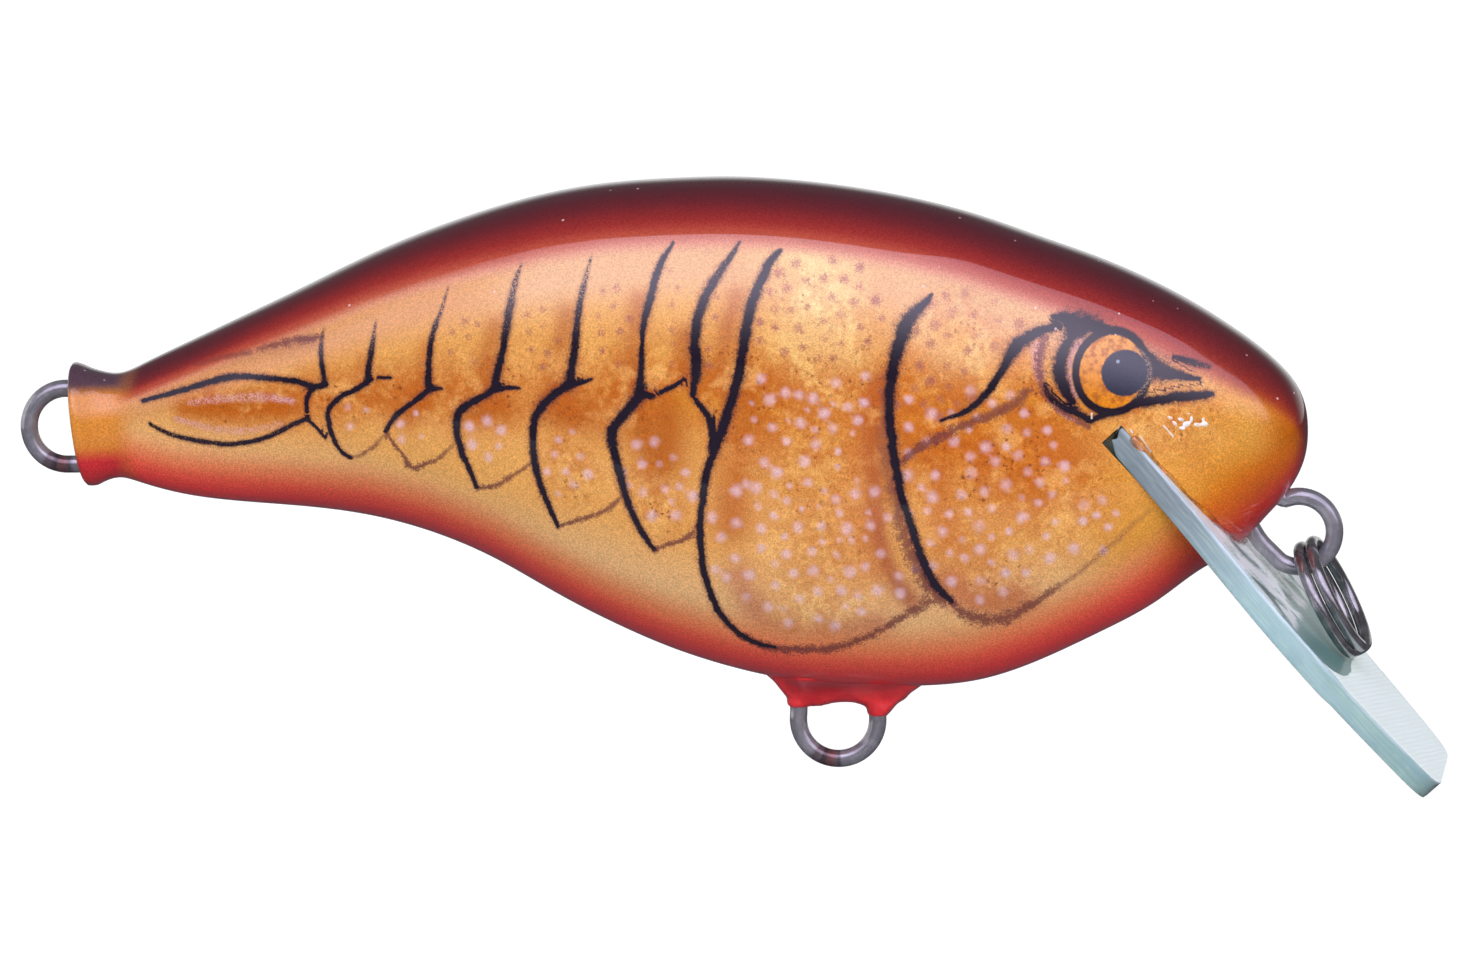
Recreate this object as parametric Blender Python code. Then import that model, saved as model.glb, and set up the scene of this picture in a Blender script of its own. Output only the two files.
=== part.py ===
"""Flat-sided crankbait lure, 60 mm body, built as its separate pieces.

Frame: +X runs to the nose, +Y to the lure's left flank, +Z up.  The origin is
the centre of the whole lure's box (wire eyes and bill included).
All dimensions below are in millimetres and are turned into metres by MM.
"""
import math

import bmesh
import bpy
from mathutils import Matrix, Vector

MM = 0.001

# ------------------------------------------------------- shared dimensions
PAINT = 0.50            # lacquer and clear coat build on the wood
GAP = 0.20              # clearance kept between neighbouring pieces
BEAD_GAP = 0.12         # smaller clearance under the seal and the epoxy

# Body stations: x, top z, bottom z, half width, flank exponent, lean.
# The lean tilts a station: its top sits further back than its bottom.
STATIONS = (
    (-31.51, 5.75, -0.26, 2.72, 2.3, 0.118),
    (-31.24, 5.68, -0.26, 2.68, 2.3, 0.118),
    (-30.85, 5.49, -0.14, 2.46, 2.3, 0.100),
    (-30.37, 5.32, 0.03, 2.27, 2.3, 0.070),
    (-29.69, 5.22, 0.13, 2.16, 2.3, 0.030),
    (-29.11, 5.39, 0.04, 2.22, 2.3, 0.0),
    (-28.53, 5.66, -0.14, 2.38, 2.3, 0.0),
    (-26.59, 6.58, -0.64, 2.95, 2.4, 0.0),
    (-23.68, 7.93, -1.01, 3.70, 2.5, 0.0),
    (-20.77, 9.29, -1.23, 4.30, 2.6, 0.0),
    (-16.90, 11.13, -1.76, 4.95, 2.7, 0.0),
    (-13.99, 12.29, -2.58, 5.35, 2.8, 0.0),
    (-11.08, 13.26, -3.84, 5.68, 2.85, 0.0),
    (-8.18, 13.99, -5.49, 5.92, 2.9, 0.0),
    (-5.27, 14.43, -6.99, 6.10, 2.9, 0.0),
    (-2.36, 14.62, -8.23, 6.22, 2.9, 0.0),
    (0.55, 14.67, -9.13, 6.25, 2.9, 0.0),
    (3.46, 14.50, -9.71, 6.25, 2.9, 0.0),
    (6.36, 14.14, -9.92, 6.20, 2.9, 0.0),
    (9.27, 13.60, -9.95, 6.10, 2.9, 0.0),
    (12.18, 12.83, -9.66, 5.95, 2.85, 0.0),
    (15.09, 11.81, -8.71, 5.72, 2.8, 0.0),
    (17.99, 10.77, -7.36, 5.40, 2.7, 0.0),
    (20.90, 9.48, -5.76, 4.93, 2.6, 0.0),
    (22.84, 8.42, -4.35, 4.50, 2.5, 0.0),
    (24.78, 7.16, -3.12, 3.85, 2.4, 0.0),
    (25.94, 6.29, -1.88, 3.30, 2.3, 0.0),
    (26.91, 5.39, -0.81, 2.65, 2.2, 0.0),
    (27.54, 4.59, 0.13, 2.00, 2.1, 0.0),
    (27.88, 3.86, 0.91, 1.38, 2.0, 0.0),
    (28.04, 3.14, 1.63, 0.75, 2.0, 0.0),
)
WIDTH_POWER = 2.2       # superellipse exponent across the body, at every station
STATION_MARGIN = 0.05   # stations this close to a loft's end are left out
MIN_HALF_WIDTH = 0.2    # sections shrunk below these sizes are left out
MIN_HALF_HEIGHT = 0.3
BODY_SIDES = 28         # points round a body section
CORE_SIDES = 24         # points round a section of the wood

TAIL_X = STATIONS[0][0]
NOSE_X = 28.09
NOSE_Z = 2.36
BODY_START = -28.25             # rear end of the painted body
COLLAR_END = BODY_START - GAP   # front end of the tail collar
SKIN_OVERCUT = 0.6              # the skin's hollow runs out past its rear end
CORE_SETBACK = 0.1              # the wood starts this far inside the skin

# Bill: a flat board held in a slot, sloping down from its inner end.
LIP_INNER_X, LIP_INNER_Z = 19.76, 2.75      # the front face's inner end
LIP_SLOPE = math.radians(48.5)
LIP_THICK = 1.05
LIP_COAT = 0.06                 # clear coat left on each face near the body

# Wire eyes: centre x, centre z, centre-line radius
LINE_TIE = (27.64, -2.49, 1.70)
BELLY_EYE = (5.29, -11.64, 1.93)
TAIL_EYE = (-32.29, 2.62, 1.855)


# ------------------------------------------------------------ scene helpers
def start_empty():
    for obj in list(bpy.data.objects):
        bpy.data.objects.remove(obj, do_unlink=True)


def new_collection(name):
    collection = bpy.data.collections.new(name)
    bpy.context.scene.collection.children.link(collection)
    return collection


start_empty()
PARTS = new_collection("crankbait_lure")
TOOLS = new_collection("cutters")


def material(name, colour, roughness, metallic=0.0, coat=0.0):
    mat = bpy.data.materials.new(name)
    mat.use_nodes = True
    bsdf = mat.node_tree.nodes["Principled BSDF"]
    bsdf.inputs["Base Color"].default_value = (*colour, 1.0)
    bsdf.inputs["Roughness"].default_value = roughness
    bsdf.inputs["Metallic"].default_value = metallic
    bsdf.inputs["Coat Weight"].default_value = coat
    mat.diffuse_color = (*colour, 1.0)
    return mat


def add(name, mesh, mat=None, smooth=True):
    """Add a piece of the lure, or a hidden helper if it has no material."""
    obj = bpy.data.objects.new(name, mesh)
    if mat is None:
        TOOLS.objects.link(obj)
        obj.hide_render = True
        obj.display_type = "WIRE"
    else:
        PARTS.objects.link(obj)
        mesh.materials.append(mat)
    if smooth:
        mesh.shade_smooth()
        mesh.set_sharp_from_angle(angle=math.radians(40))
    return obj


def boolean(obj, *cutters, operation="DIFFERENCE"):
    """Add one boolean modifier per cutter, in the order given."""
    for cutter in cutters:
        mod = obj.modifiers.new(f"{operation.lower()}_{cutter.name}", "BOOLEAN")
        mod.operation = operation
        mod.solver = "EXACT"
        mod.object = cutter


def to_mesh(bm, name):
    mesh = bpy.data.meshes.new(name)
    bm.to_mesh(mesh)
    bm.free()
    return mesh


# ------------------------------------------------------------- body surface
def station_at(x):
    """The body station at x, interpolated along the table."""
    for rear, front in zip(STATIONS, STATIONS[1:]):
        if x <= front[0]:
            share = (x - rear[0]) / (front[0] - rear[0])
            return tuple(p + (q - p) * share for p, q in zip(rear, front))
    raise ValueError(f"x = {x} lies in front of the last station")


def signed_power(value, power):
    return math.copysign(abs(value) ** power, value)


def section(station, inset, count):
    """A superellipse ring: flat flanks, rounded back and belly."""
    x, top, bottom, half_width, power, lean = station
    top, bottom, half_width = top - inset, bottom + inset, half_width - inset
    middle, half_height = (top + bottom) / 2, (top - bottom) / 2
    shift = inset * max(0.0, x / NOSE_X) ** 2   # draws the front stations back
    ring = []
    for i in range(count):
        angle = 2 * math.pi * i / count
        y = half_width * signed_power(math.cos(angle), 2 / WIDTH_POWER)
        rise = half_height * signed_power(math.sin(angle), 2 / power)
        ring.append((x - lean * rise - shift, y, middle + rise))
    return ring


def body_loft(name, inset, start, end, count=BODY_SIDES, mat=None):
    """Loft of the body between two x positions, shrunk by inset."""
    to_nose = end >= NOSE_X
    stations = [station_at(start)]
    stations += [s for s in STATIONS
                 if start + STATION_MARGIN < s[0] < end - STATION_MARGIN]
    if not to_nose:
        stations.append(station_at(end))

    bm = bmesh.new()
    rings = []
    for station in stations:
        _, top, bottom, half_width, _, _ = station
        if (half_width - inset < MIN_HALF_WIDTH
                or (top - bottom) / 2 - inset < MIN_HALF_HEIGHT):
            continue
        rings.append([bm.verts.new((x * MM, y * MM, z * MM))
                      for x, y, z in section(station, inset, count)])
    for rear, front in zip(rings, rings[1:]):
        for i in range(count):
            j = (i + 1) % count
            bm.faces.new((rear[i], rear[j], front[j], front[i]))
    bm.faces.new(list(reversed(rings[0])))
    if to_nose:
        tip = bm.verts.new(((NOSE_X - inset) * MM, 0.0, NOSE_Z * MM))
        for i in range(count):
            bm.faces.new((rings[-1][i], rings[-1][(i + 1) % count], tip))
    else:
        bm.faces.new(rings[-1])
    bmesh.ops.recalc_face_normals(bm, faces=bm.faces)
    return add(name, to_mesh(bm, name), mat)


def flank_at(x, z):
    """Half width of the painted body at a point of its side view."""
    _, top, bottom, half_width, power, _ = station_at(x)
    height = abs(z - (top + bottom) / 2) / ((top - bottom) / 2)
    if height >= 1:
        return 0.0
    return half_width * (1 - height ** power) ** (1 / WIDTH_POWER)


# ---------------------------------------------------------- lines and tubes
def catmull_rom(before, start, end, after, t):
    return 0.5 * (2 * start + (end - before) * t
                  + (2 * before - 5 * start + 4 * end - after) * t * t
                  + (3 * start - before - 3 * end + after) * t ** 3)


def spline(points, step):
    """Catmull-Rom through the points, resampled at about one step."""
    padded = [points[0], *points, points[-1]]
    out = [points[0]]
    for span in zip(padded, padded[1:], padded[2:], padded[3:]):
        parts = max(1, round(math.dist(span[1], span[2]) / step))
        for k in range(1, parts + 1):
            out.append(tuple(catmull_rom(*values, k / parts)
                             for values in zip(*span)))
    return out


def eye_arc(eye, start, stop, step=18):
    """Points round a wire eye, from one angle to another in degrees."""
    x, z, radius = eye
    count = round(abs(stop - start) / step)
    angles = [math.radians(start + (stop - start) * i / count)
              for i in range(count + 1)]
    return [(x + radius * math.cos(a), z + radius * math.sin(a)) for a in angles]


def curve_mesh(name, points, cyclic=False, **settings):
    """Mesh of a poly curve through the points, with the given curve settings."""
    curve = bpy.data.curves.new(name + "_path", "CURVE")
    for key, value in settings.items():
        setattr(curve, key, value)
    path = curve.splines.new("POLY")
    path.use_cyclic_u = cyclic
    path.points.add(len(points) - 1)
    for point, (x, y, z) in zip(path.points, points):
        point.co = (x * MM, y * MM, z * MM, 1.0)
    guide = bpy.data.objects.new(name + "_path", curve)
    TOOLS.objects.link(guide)
    depsgraph = bpy.context.evaluated_depsgraph_get()
    mesh = bpy.data.meshes.new_from_object(guide.evaluated_get(depsgraph))
    bpy.data.objects.remove(guide, do_unlink=True)

    # the caps come out separate from the sides: weld them
    bm = bmesh.new()
    bm.from_mesh(mesh)
    bmesh.ops.remove_doubles(bm, verts=bm.verts, dist=1e-6)
    bmesh.ops.recalc_face_normals(bm, faces=bm.faces)
    bm.to_mesh(mesh)
    bm.free()
    mesh.name = name
    return mesh


def tube(name, points, diameter, mat=None):
    """A bent round wire with closed ends."""
    mesh = curve_mesh(name, points, dimensions="3D", bevel_depth=diameter / 2 * MM,
                      bevel_resolution=2, use_fill_caps=True)
    return add(name, mesh, mat)


# ------------------------------------------------------------- plain solids
def box(name, low, high, matrix=Matrix.Identity(4)):
    """A cutter box between two corners, placed by matrix."""
    size = [(b - a) * MM for a, b in zip(low, high)]
    centre = [(b + a) / 2 * MM for a, b in zip(low, high)]
    bm = bmesh.new()
    bmesh.ops.create_cube(bm, size=1.0, matrix=Matrix.Translation(centre)
                          @ Matrix.Diagonal((*size, 1.0)))
    obj = add(name, to_mesh(bm, name), smooth=False)
    obj.matrix_world = matrix
    return obj


def upright(name, x, low, high, radius_low, radius_high, sides=32, mat=None):
    """A round plug or cone standing along Z, in the middle plane."""
    bm = bmesh.new()
    bmesh.ops.create_cone(bm, cap_ends=True, segments=sides,
                          radius1=radius_low * MM, radius2=radius_high * MM,
                          depth=(high - low) * MM)
    obj = add(name, to_mesh(bm, name), mat)
    obj.location = (x * MM, 0.0, (low + high) / 2 * MM)
    return obj


def ellipsoid(name, centre, radii, segments, rings, turn=Matrix.Identity(4), mat=None):
    bm = bmesh.new()
    bmesh.ops.create_uvsphere(
        bm, u_segments=segments, v_segments=rings, radius=1.0,
        matrix=Matrix.Translation([c * MM for c in centre]) @ turn
        @ Matrix.Diagonal((*(r * MM for r in radii), 1.0)))
    return add(name, to_mesh(bm, name), mat)


# ---------------------------------------------------------------- materials
LACQUER = material("lacquer", colour=(0.63, 0.25, 0.06), roughness=0.18, coat=1.0)
LACQUER_RED = material("lacquer_red", colour=(0.50, 0.04, 0.03), roughness=0.18, coat=1.0)
BALSA = material("balsa", colour=(0.78, 0.62, 0.42), roughness=0.75)
STEEL = material("stainless_wire", colour=(0.30, 0.30, 0.32), roughness=0.28, metallic=1.0)
RING_STEEL = material("ring_steel", colour=(0.24, 0.24, 0.26), roughness=0.25, metallic=1.0)
BOARD = material("glass_board", colour=(0.55, 0.72, 0.74), roughness=0.35)
EPOXY = material("clear_epoxy", colour=(0.85, 0.87, 0.80), roughness=0.08)
LEAD = material("lead", colour=(0.20, 0.21, 0.23), roughness=0.55, metallic=1.0)
FILLER = material("wood_filler", colour=(0.62, 0.48, 0.30), roughness=0.85)

# ------------------------------------------------------------- through wire
WIRE_D = 0.85           # stainless through-wire
WIRE_GAP = 0.15         # clearance round the wire in the seal and the epoxy
BELLY_LEG_TOP = -10.6   # z where the straight legs of the belly eye begin

# Centre line between the eyes: x, z
NOSE_END = [(24.92, 1.63), (25.05, 0.80), (25.46, 0.05), (26.10, -0.52), (26.72, -0.82)]
# up the bill's front face, over its inner end and down to the belly
TIE_TO_BELLY = [
    (26.30, -3.50), (25.68, -2.82), (24.85, -1.42), (23.80, -0.28), (22.50, 1.20),
    (21.24, 2.70), (20.40, 3.90), (18.96, 4.50), (16.05, 3.72), (13.15, 2.41),
    (10.24, 0.47), (8.54, -2.44), (7.82, -5.35), (7.43, -8.25),
]
BELLY_TO_TAIL = [
    (2.97, -8.25), (1.76, -5.83), (-1.39, -3.16), (-8.18, -0.50), (-15.93, 1.44),
    (-23.2, 2.31), (-27.56, 2.30), (-29.30, 1.85), (-30.47, 1.20), (-31.25, 0.82),
]
TAIL_END = [(-31.25, 4.42), (-30.30, 4.10), (-29.50, 3.66)]


def wire_line():
    """The wire's centre line from the nose to the tail, in the middle plane."""
    tie = eye_arc(LINE_TIE, 112, -122)
    belly_x, _, belly_radius = BELLY_EYE
    belly = [(belly_x + belly_radius, BELLY_LEG_TOP),
             *eye_arc(BELLY_EYE, 0, -180),
             (belly_x - belly_radius, BELLY_LEG_TOP)]
    tail = eye_arc(TAIL_EYE, -90, -270)
    # each spline shares its end points with the eyes, so those are dropped
    line = (spline(NOSE_END + [tie[0]], 0.8)[:-1] + tie
            + spline([tie[-1]] + TIE_TO_BELLY + [belly[0]], 1.1)[1:-1] + belly
            + spline([belly[-1]] + BELLY_TO_TAIL + [tail[0]], 1.4)[1:-1] + tail
            + spline([tail[-1]] + TAIL_END, 0.9)[1:])
    return [(x, 0.0, z) for x, z in line]


WIRE_LINE = wire_line()
tube("through_wire", WIRE_LINE, WIRE_D, STEEL)
wire_bore = tube("wire_bore", WIRE_LINE, WIRE_D + 2 * GAP)
wire_clear = tube("wire_clear", WIRE_LINE, WIRE_D + 2 * WIRE_GAP)

# --------------------------------------------------------------------- bill
LIP_BARE_FROM = 15.95           # from here to the tip the board is bare
LIP_HALF_OUTLINE = (            # distance from the inner end, half width
    (0.0, 4.75), (0.35, 5.10), (2.5, 5.42), (5.0, 5.95), (7.5, 6.80),
    (10.0, 7.65), (12.0, 8.10), (14.0, 8.22), (16.0, 8.05), (18.0, 7.60),
    (20.0, 6.98), (21.2, 6.50), (21.9, 5.95), (22.25, 5.25), (22.34, 4.4),
)
LIP_OUTLINE_STEP = 1.0
SLOT_OVERCUT = 0.95             # the saw cut runs past the bill's inner end
CLEAR_OVERCUT = 0.6             # so does the cutter that clears the epoxy
# the cutters' reach past the board, in its own frame
CUT_HALF_WIDTH = 12
SLOT_END = 26
BARE_END = 30
BARE_FRONT_TOP = 2
BARE_BACK_BOTTOM = -3

LIP_TURN = Matrix.Rotation(LIP_SLOPE, 4, "Y")
# The bill's frame: X along it to the tip, Z out of its bare front face
LIP_MATRIX = Matrix.Translation((LIP_INNER_X * MM, 0.0, LIP_INNER_Z * MM)) @ LIP_TURN


def lip_point(along, across, above):
    """A point given along, across and above the bill's front face."""
    cosine, sine = math.cos(LIP_SLOPE), math.sin(LIP_SLOPE)
    return (LIP_INNER_X + along * cosine + above * sine, across,
            LIP_INNER_Z - along * sine + above * cosine)


def lip_box(name, start, end, bottom, top):
    """A cutter box across the bill, in the bill's frame."""
    return box(name, (start, -CUT_HALF_WIDTH, bottom), (end, CUT_HALF_WIDTH, top),
               LIP_MATRIX)


def lip_slot(name, overcut, gap):
    """A cutter round the coated board, with a gap on each face."""
    return lip_box(name, -overcut, SLOT_END, -LIP_THICK - LIP_COAT - gap, LIP_COAT + gap)


def build_lip():
    edge = spline(LIP_HALF_OUTLINE, LIP_OUTLINE_STEP)
    outline = ([(along, across, 0.0) for along, across in edge]
               + [(along, -across, 0.0) for along, across in reversed(edge)])
    mesh = curve_mesh("lip", outline, cyclic=True, dimensions="2D", fill_mode="BOTH",
                      extrude=(LIP_THICK / 2 + LIP_COAT) * MM)
    # the board's bare front face is the reference plane
    mesh.transform(Matrix.Translation((0, 0, -LIP_THICK / 2 * MM)))
    lip = add("lip", mesh, BOARD, smooth=False)
    lip.matrix_world = LIP_MATRIX
    boolean(lip,
            lip_box("bare_front", LIP_BARE_FROM, BARE_END, 0.0, BARE_FRONT_TOP),
            lip_box("bare_back", LIP_BARE_FROM, BARE_END, BARE_BACK_BOTTOM, -LIP_THICK))


build_lip()
slot = lip_slot("bill_slot", SLOT_OVERCUT, GAP)
slot_clear = lip_slot("bill_clear", CLEAR_OVERCUT, BEAD_GAP)

# ----------------------------------------------- lacquer skin, tail collar
lacquer_shell = body_loft("lacquer_shell", 0.0, BODY_START, NOSE_X, mat=LACQUER)
skin_inside = body_loft("skin_inside", PAINT, BODY_START - SKIN_OVERCUT, NOSE_X)
boolean(lacquer_shell, skin_inside, slot, wire_bore)

tail_collar = body_loft("tail_collar", 0.0, TAIL_X, COLLAR_END, mat=LACQUER_RED)
boolean(tail_collar, wire_bore)

# ------------------------------------------------- wood halves and ballast
BALLAST_X = 12.4
BALLAST_R = 2.5
BALLAST_TOP = -2.4
BALLAST_LEN = 4.5
BALLAST_BOTTOM = BALLAST_TOP - BALLAST_LEN
HOLE_BOTTOM = -14               # below the belly, so the hole opens there
FILLER_LIMIT_X = (2, 22)        # stretch of body that trims the filler

ballast_hole = upright("ballast_hole", BALLAST_X, HOLE_BOTTOM, BALLAST_TOP + GAP,
                       BALLAST_R + GAP, BALLAST_R + GAP)


def build_core(side, keep_out_low_y, keep_out_high_y):
    """One half of the wood: the body less everything past the middle plane."""
    keep_out = box(f"{side}_keep_out", (-40, keep_out_low_y, -30),
                   (40, keep_out_high_y, 30))
    core = body_loft(f"body_core_{side}", PAINT + GAP, BODY_START + CORE_SETBACK,
                     NOSE_X, count=CORE_SIDES, mat=BALSA)
    boolean(core, keep_out, slot, wire_bore, ballast_hole)


build_core("left", -20, GAP / 2)
build_core("right", -GAP / 2, 20)

upright("belly_ballast", BALLAST_X, BALLAST_BOTTOM, BALLAST_TOP,
        BALLAST_R, BALLAST_R, mat=LEAD)

# the filler closes the hole under the ballast, flush with the wood
ballast_filler = upright("ballast_filler", BALLAST_X, HOLE_BOTTOM, BALLAST_BOTTOM - GAP,
                         BALLAST_R, BALLAST_R, mat=FILLER)
filler_limit = body_loft("filler_limit", PAINT + GAP, *FILLER_LIMIT_X)
boolean(ballast_filler, filler_limit, operation="INTERSECT")

# ------------------------------------- lacquer seal round the belly hanger
SEAL_CENTRE = (5.45, 0.0, -9.75)
SEAL_RADII = (3.75, 2.0, 1.3)
RUN_TOP = -9.2
RUN_TOP_R = 1.7
BELLY_SKIN_X = (-4, 16)         # stretch of body cut out of the seal
RUNS = (                        # name, x, foot z, foot radius
    ("run_rear", 3.42, -11.0, 0.75),
    ("run_front", 7.35, -11.45, 0.78),
)

belly_seal = ellipsoid("belly_seal", SEAL_CENTRE, SEAL_RADII,
                       segments=28, rings=14, mat=LACQUER_RED)
# lacquer that has run a little way down each leg of the wire
for run_name, run_x, foot_z, foot_radius in RUNS:
    run = upright(run_name, run_x, foot_z, RUN_TOP, foot_radius, RUN_TOP_R, sides=16)
    boolean(belly_seal, run, operation="UNION")
belly_skin = body_loft("belly_skin", -BEAD_GAP, *BELLY_SKIN_X)
boolean(belly_seal, belly_skin, wire_clear)

# -------------------------------------------------------- epoxy at the bill
BEAD_R = 0.42
BEAD_ABOVE = LIP_COAT + BEAD_GAP + BEAD_R * 0.8     # centre line over the face
BEAD_OUT = BEAD_R * 0.75        # centre line out from the body's flank
BEAD_START = 1.6                # distances along the bill
BEAD_STEP = 0.45
BEAD_MIN_HALF = 0.25            # the two sides of the bead stop here
BEAD_TIP = 0.35                 # the point that joins them lies this much further
BLOB_CENTRE = (8.6, 0, 0.75)    # along, across, above the bill
BLOB_RADII = (1.25, 1.7, 1.05)
NOSE_SKIN_START = 14


def bead_line():
    """Line where the body meets the bill's front face, moved outwards."""
    contour = []
    along = BEAD_START
    while True:
        x, _, z = lip_point(along, 0, BEAD_ABOVE)
        half_width = flank_at(x, z)
        if half_width <= BEAD_MIN_HALF:
            break
        contour.append((along, half_width))
        along += BEAD_STEP

    side = []
    for i, (along, half_width) in enumerate(contour):
        before = contour[max(i - 1, 0)]
        after = contour[min(i + 1, len(contour) - 1)]
        run, widening = after[0] - before[0], after[1] - before[1]
        length = math.hypot(run, widening)
        side.append((along - widening / length * BEAD_OUT,
                     half_width + run / length * BEAD_OUT))
    return ([lip_point(along, across, BEAD_ABOVE) for along, across in side]
            + [lip_point(side[-1][0] + BEAD_TIP, 0.0, BEAD_ABOVE)]
            + [lip_point(along, -across, BEAD_ABOVE) for along, across in reversed(side)])


lip_epoxy = tube("lip_epoxy", bead_line(), 2 * BEAD_R, EPOXY)
epoxy_blob = ellipsoid("epoxy_blob", lip_point(*BLOB_CENTRE), BLOB_RADII,
                       segments=20, rings=12, turn=LIP_TURN)
nose_skin = body_loft("nose_skin", -BEAD_GAP, NOSE_SKIN_START, NOSE_X)
boolean(lip_epoxy, epoxy_blob, operation="UNION")
boolean(lip_epoxy, nose_skin, slot_clear, wire_clear)

# --------------------------------------------------------------- split ring
RING_WIRE_D = 0.55
RING_OD = 6.15
RING_PITCH = 0.63               # distance between the two coils of the ring
RING_DIR = math.radians(-63.3)  # from the line tie to the ring centre, from +X
RING_HANG = 3.55                # line tie centre to ring centre
RING_TWIST = math.radians(4.0)  # the ring hangs slightly off square
# degrees round the coils, counted from the foot of the ring, away from the eye
RING_FIRST, RING_LAST, RING_STEP = 12, 700, 8
CROSS_START, CROSS_SPAN = 340, 32   # where one coil steps across to the other


def ring_line():
    """The two coils' centre line."""
    mean_radius = (RING_OD - RING_WIRE_D) / 2
    hang = Vector((math.cos(RING_DIR), 0, math.sin(RING_DIR)))
    square = Vector((-math.sin(RING_DIR), 0, math.cos(RING_DIR)))
    across = (Vector((0, 1, 0)) * math.cos(RING_TWIST)
              + square * math.sin(RING_TWIST))
    axis = hang.cross(across)
    centre = Vector((LINE_TIE[0], 0, LINE_TIE[1])) + hang * RING_HANG
    points = []
    for degrees in range(RING_FIRST, RING_LAST + 1, RING_STEP):
        share = min(1.0, max(0.0, (degrees - CROSS_START) / CROSS_SPAN))
        offset = RING_PITCH * (share * share * (3 - 2 * share) - 0.5)
        angle = math.radians(degrees)
        points.append(tuple(centre + hang * (mean_radius * math.cos(angle))
                            + across * (mean_radius * math.sin(angle))
                            + axis * offset))
    return points


# the ring swings about an empty at the line tie's centre
swing = bpy.data.objects.new("split_ring_axis", None)
PARTS.objects.link(swing)
swing.location = (LINE_TIE[0] * MM, 0, LINE_TIE[1] * MM)
split_ring = tube("split_ring", ring_line(), RING_WIRE_D, RING_STEEL)
split_ring.data.transform(Matrix.Translation(-swing.location))
split_ring.parent = swing
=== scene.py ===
"""Looks of a crankbait lure, built round its CAD pieces.

The lure lies along X with its nose at +X and its back up (+Z); the camera looks
from -Y. The painted skin is a fine loft whose points carry the airbrushed colours
and the distance to each brush stroke, so that the printed lines stay crisp.
Lengths of the lure are in millimetres; lights, floor and camera are in metres.
"""

import math
import random

import bmesh
import bpy
import numpy as np
from mathutils import Matrix, Vector


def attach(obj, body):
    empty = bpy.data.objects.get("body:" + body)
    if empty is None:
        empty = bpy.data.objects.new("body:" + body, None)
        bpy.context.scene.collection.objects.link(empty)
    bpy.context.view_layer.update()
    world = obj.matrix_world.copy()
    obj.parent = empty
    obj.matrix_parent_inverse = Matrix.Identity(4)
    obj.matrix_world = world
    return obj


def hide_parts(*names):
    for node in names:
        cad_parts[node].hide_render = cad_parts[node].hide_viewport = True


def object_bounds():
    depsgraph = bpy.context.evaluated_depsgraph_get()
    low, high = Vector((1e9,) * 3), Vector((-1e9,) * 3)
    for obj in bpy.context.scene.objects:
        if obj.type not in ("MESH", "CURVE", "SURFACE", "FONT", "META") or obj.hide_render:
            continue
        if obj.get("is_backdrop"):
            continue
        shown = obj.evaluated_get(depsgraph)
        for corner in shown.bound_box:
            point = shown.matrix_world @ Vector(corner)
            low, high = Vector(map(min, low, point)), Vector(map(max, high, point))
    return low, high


MM = 0.001

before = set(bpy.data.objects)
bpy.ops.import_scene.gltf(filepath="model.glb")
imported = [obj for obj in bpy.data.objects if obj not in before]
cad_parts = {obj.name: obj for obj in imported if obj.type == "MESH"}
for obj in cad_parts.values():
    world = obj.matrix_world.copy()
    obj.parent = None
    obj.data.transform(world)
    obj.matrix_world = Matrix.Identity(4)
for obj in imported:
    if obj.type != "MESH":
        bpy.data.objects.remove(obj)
cad_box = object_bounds()

# ------------------------------------------------------------------ body shape
# Sections from tail to nose:
# x, top z, bottom z, half width, flank exponent, lean (x moved back per z)
BODY = np.array((
    (-31.51, 5.75, -0.26, 2.72, 2.3, 0.118), (-31.24, 5.68, -0.26, 2.68, 2.3, 0.118),
    (-30.85, 5.49, -0.14, 2.46, 2.3, 0.1), (-30.37, 5.32, 0.03, 2.27, 2.3, 0.07),
    (-29.69, 5.22, 0.13, 2.16, 2.3, 0.03), (-29.11, 5.39, 0.04, 2.22, 2.3, 0),
    (-28.53, 5.66, -0.14, 2.38, 2.3, 0), (-26.59, 6.58, -0.64, 2.95, 2.4, 0),
    (-23.68, 7.93, -1.01, 3.7, 2.5, 0), (-20.77, 9.29, -1.23, 4.3, 2.6, 0),
    (-16.9, 11.13, -1.76, 4.95, 2.7, 0), (-13.99, 12.29, -2.58, 5.35, 2.8, 0),
    (-11.08, 13.26, -3.84, 5.68, 2.85, 0), (-8.18, 13.99, -5.49, 5.92, 2.9, 0),
    (-5.27, 14.43, -6.99, 6.1, 2.9, 0), (-2.36, 14.62, -8.23, 6.22, 2.9, 0),
    (0.55, 14.67, -9.13, 6.25, 2.9, 0), (3.46, 14.5, -9.71, 6.25, 2.9, 0),
    (6.36, 14.14, -9.92, 6.2, 2.9, 0), (9.27, 13.6, -9.95, 6.1, 2.9, 0),
    (12.18, 12.83, -9.66, 5.95, 2.85, 0), (15.09, 11.81, -8.71, 5.72, 2.8, 0),
    (17.99, 10.77, -7.36, 5.4, 2.7, 0), (20.9, 9.48, -5.76, 4.93, 2.6, 0),
    (22.84, 8.42, -4.35, 4.5, 2.5, 0), (24.78, 7.16, -3.12, 3.85, 2.4, 0),
    (25.94, 6.29, -1.88, 3.3, 2.3, 0), (26.91, 5.39, -0.81, 2.65, 2.2, 0),
    (27.54, 4.59, 0.13, 2, 2.1, 0), (27.88, 3.86, 0.91, 1.38, 2, 0),
    (28.04, 3.14, 1.63, 0.75, 2, 0), (28.09, 2.36, 2.36, 0, 2, 0),
), float)
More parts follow.
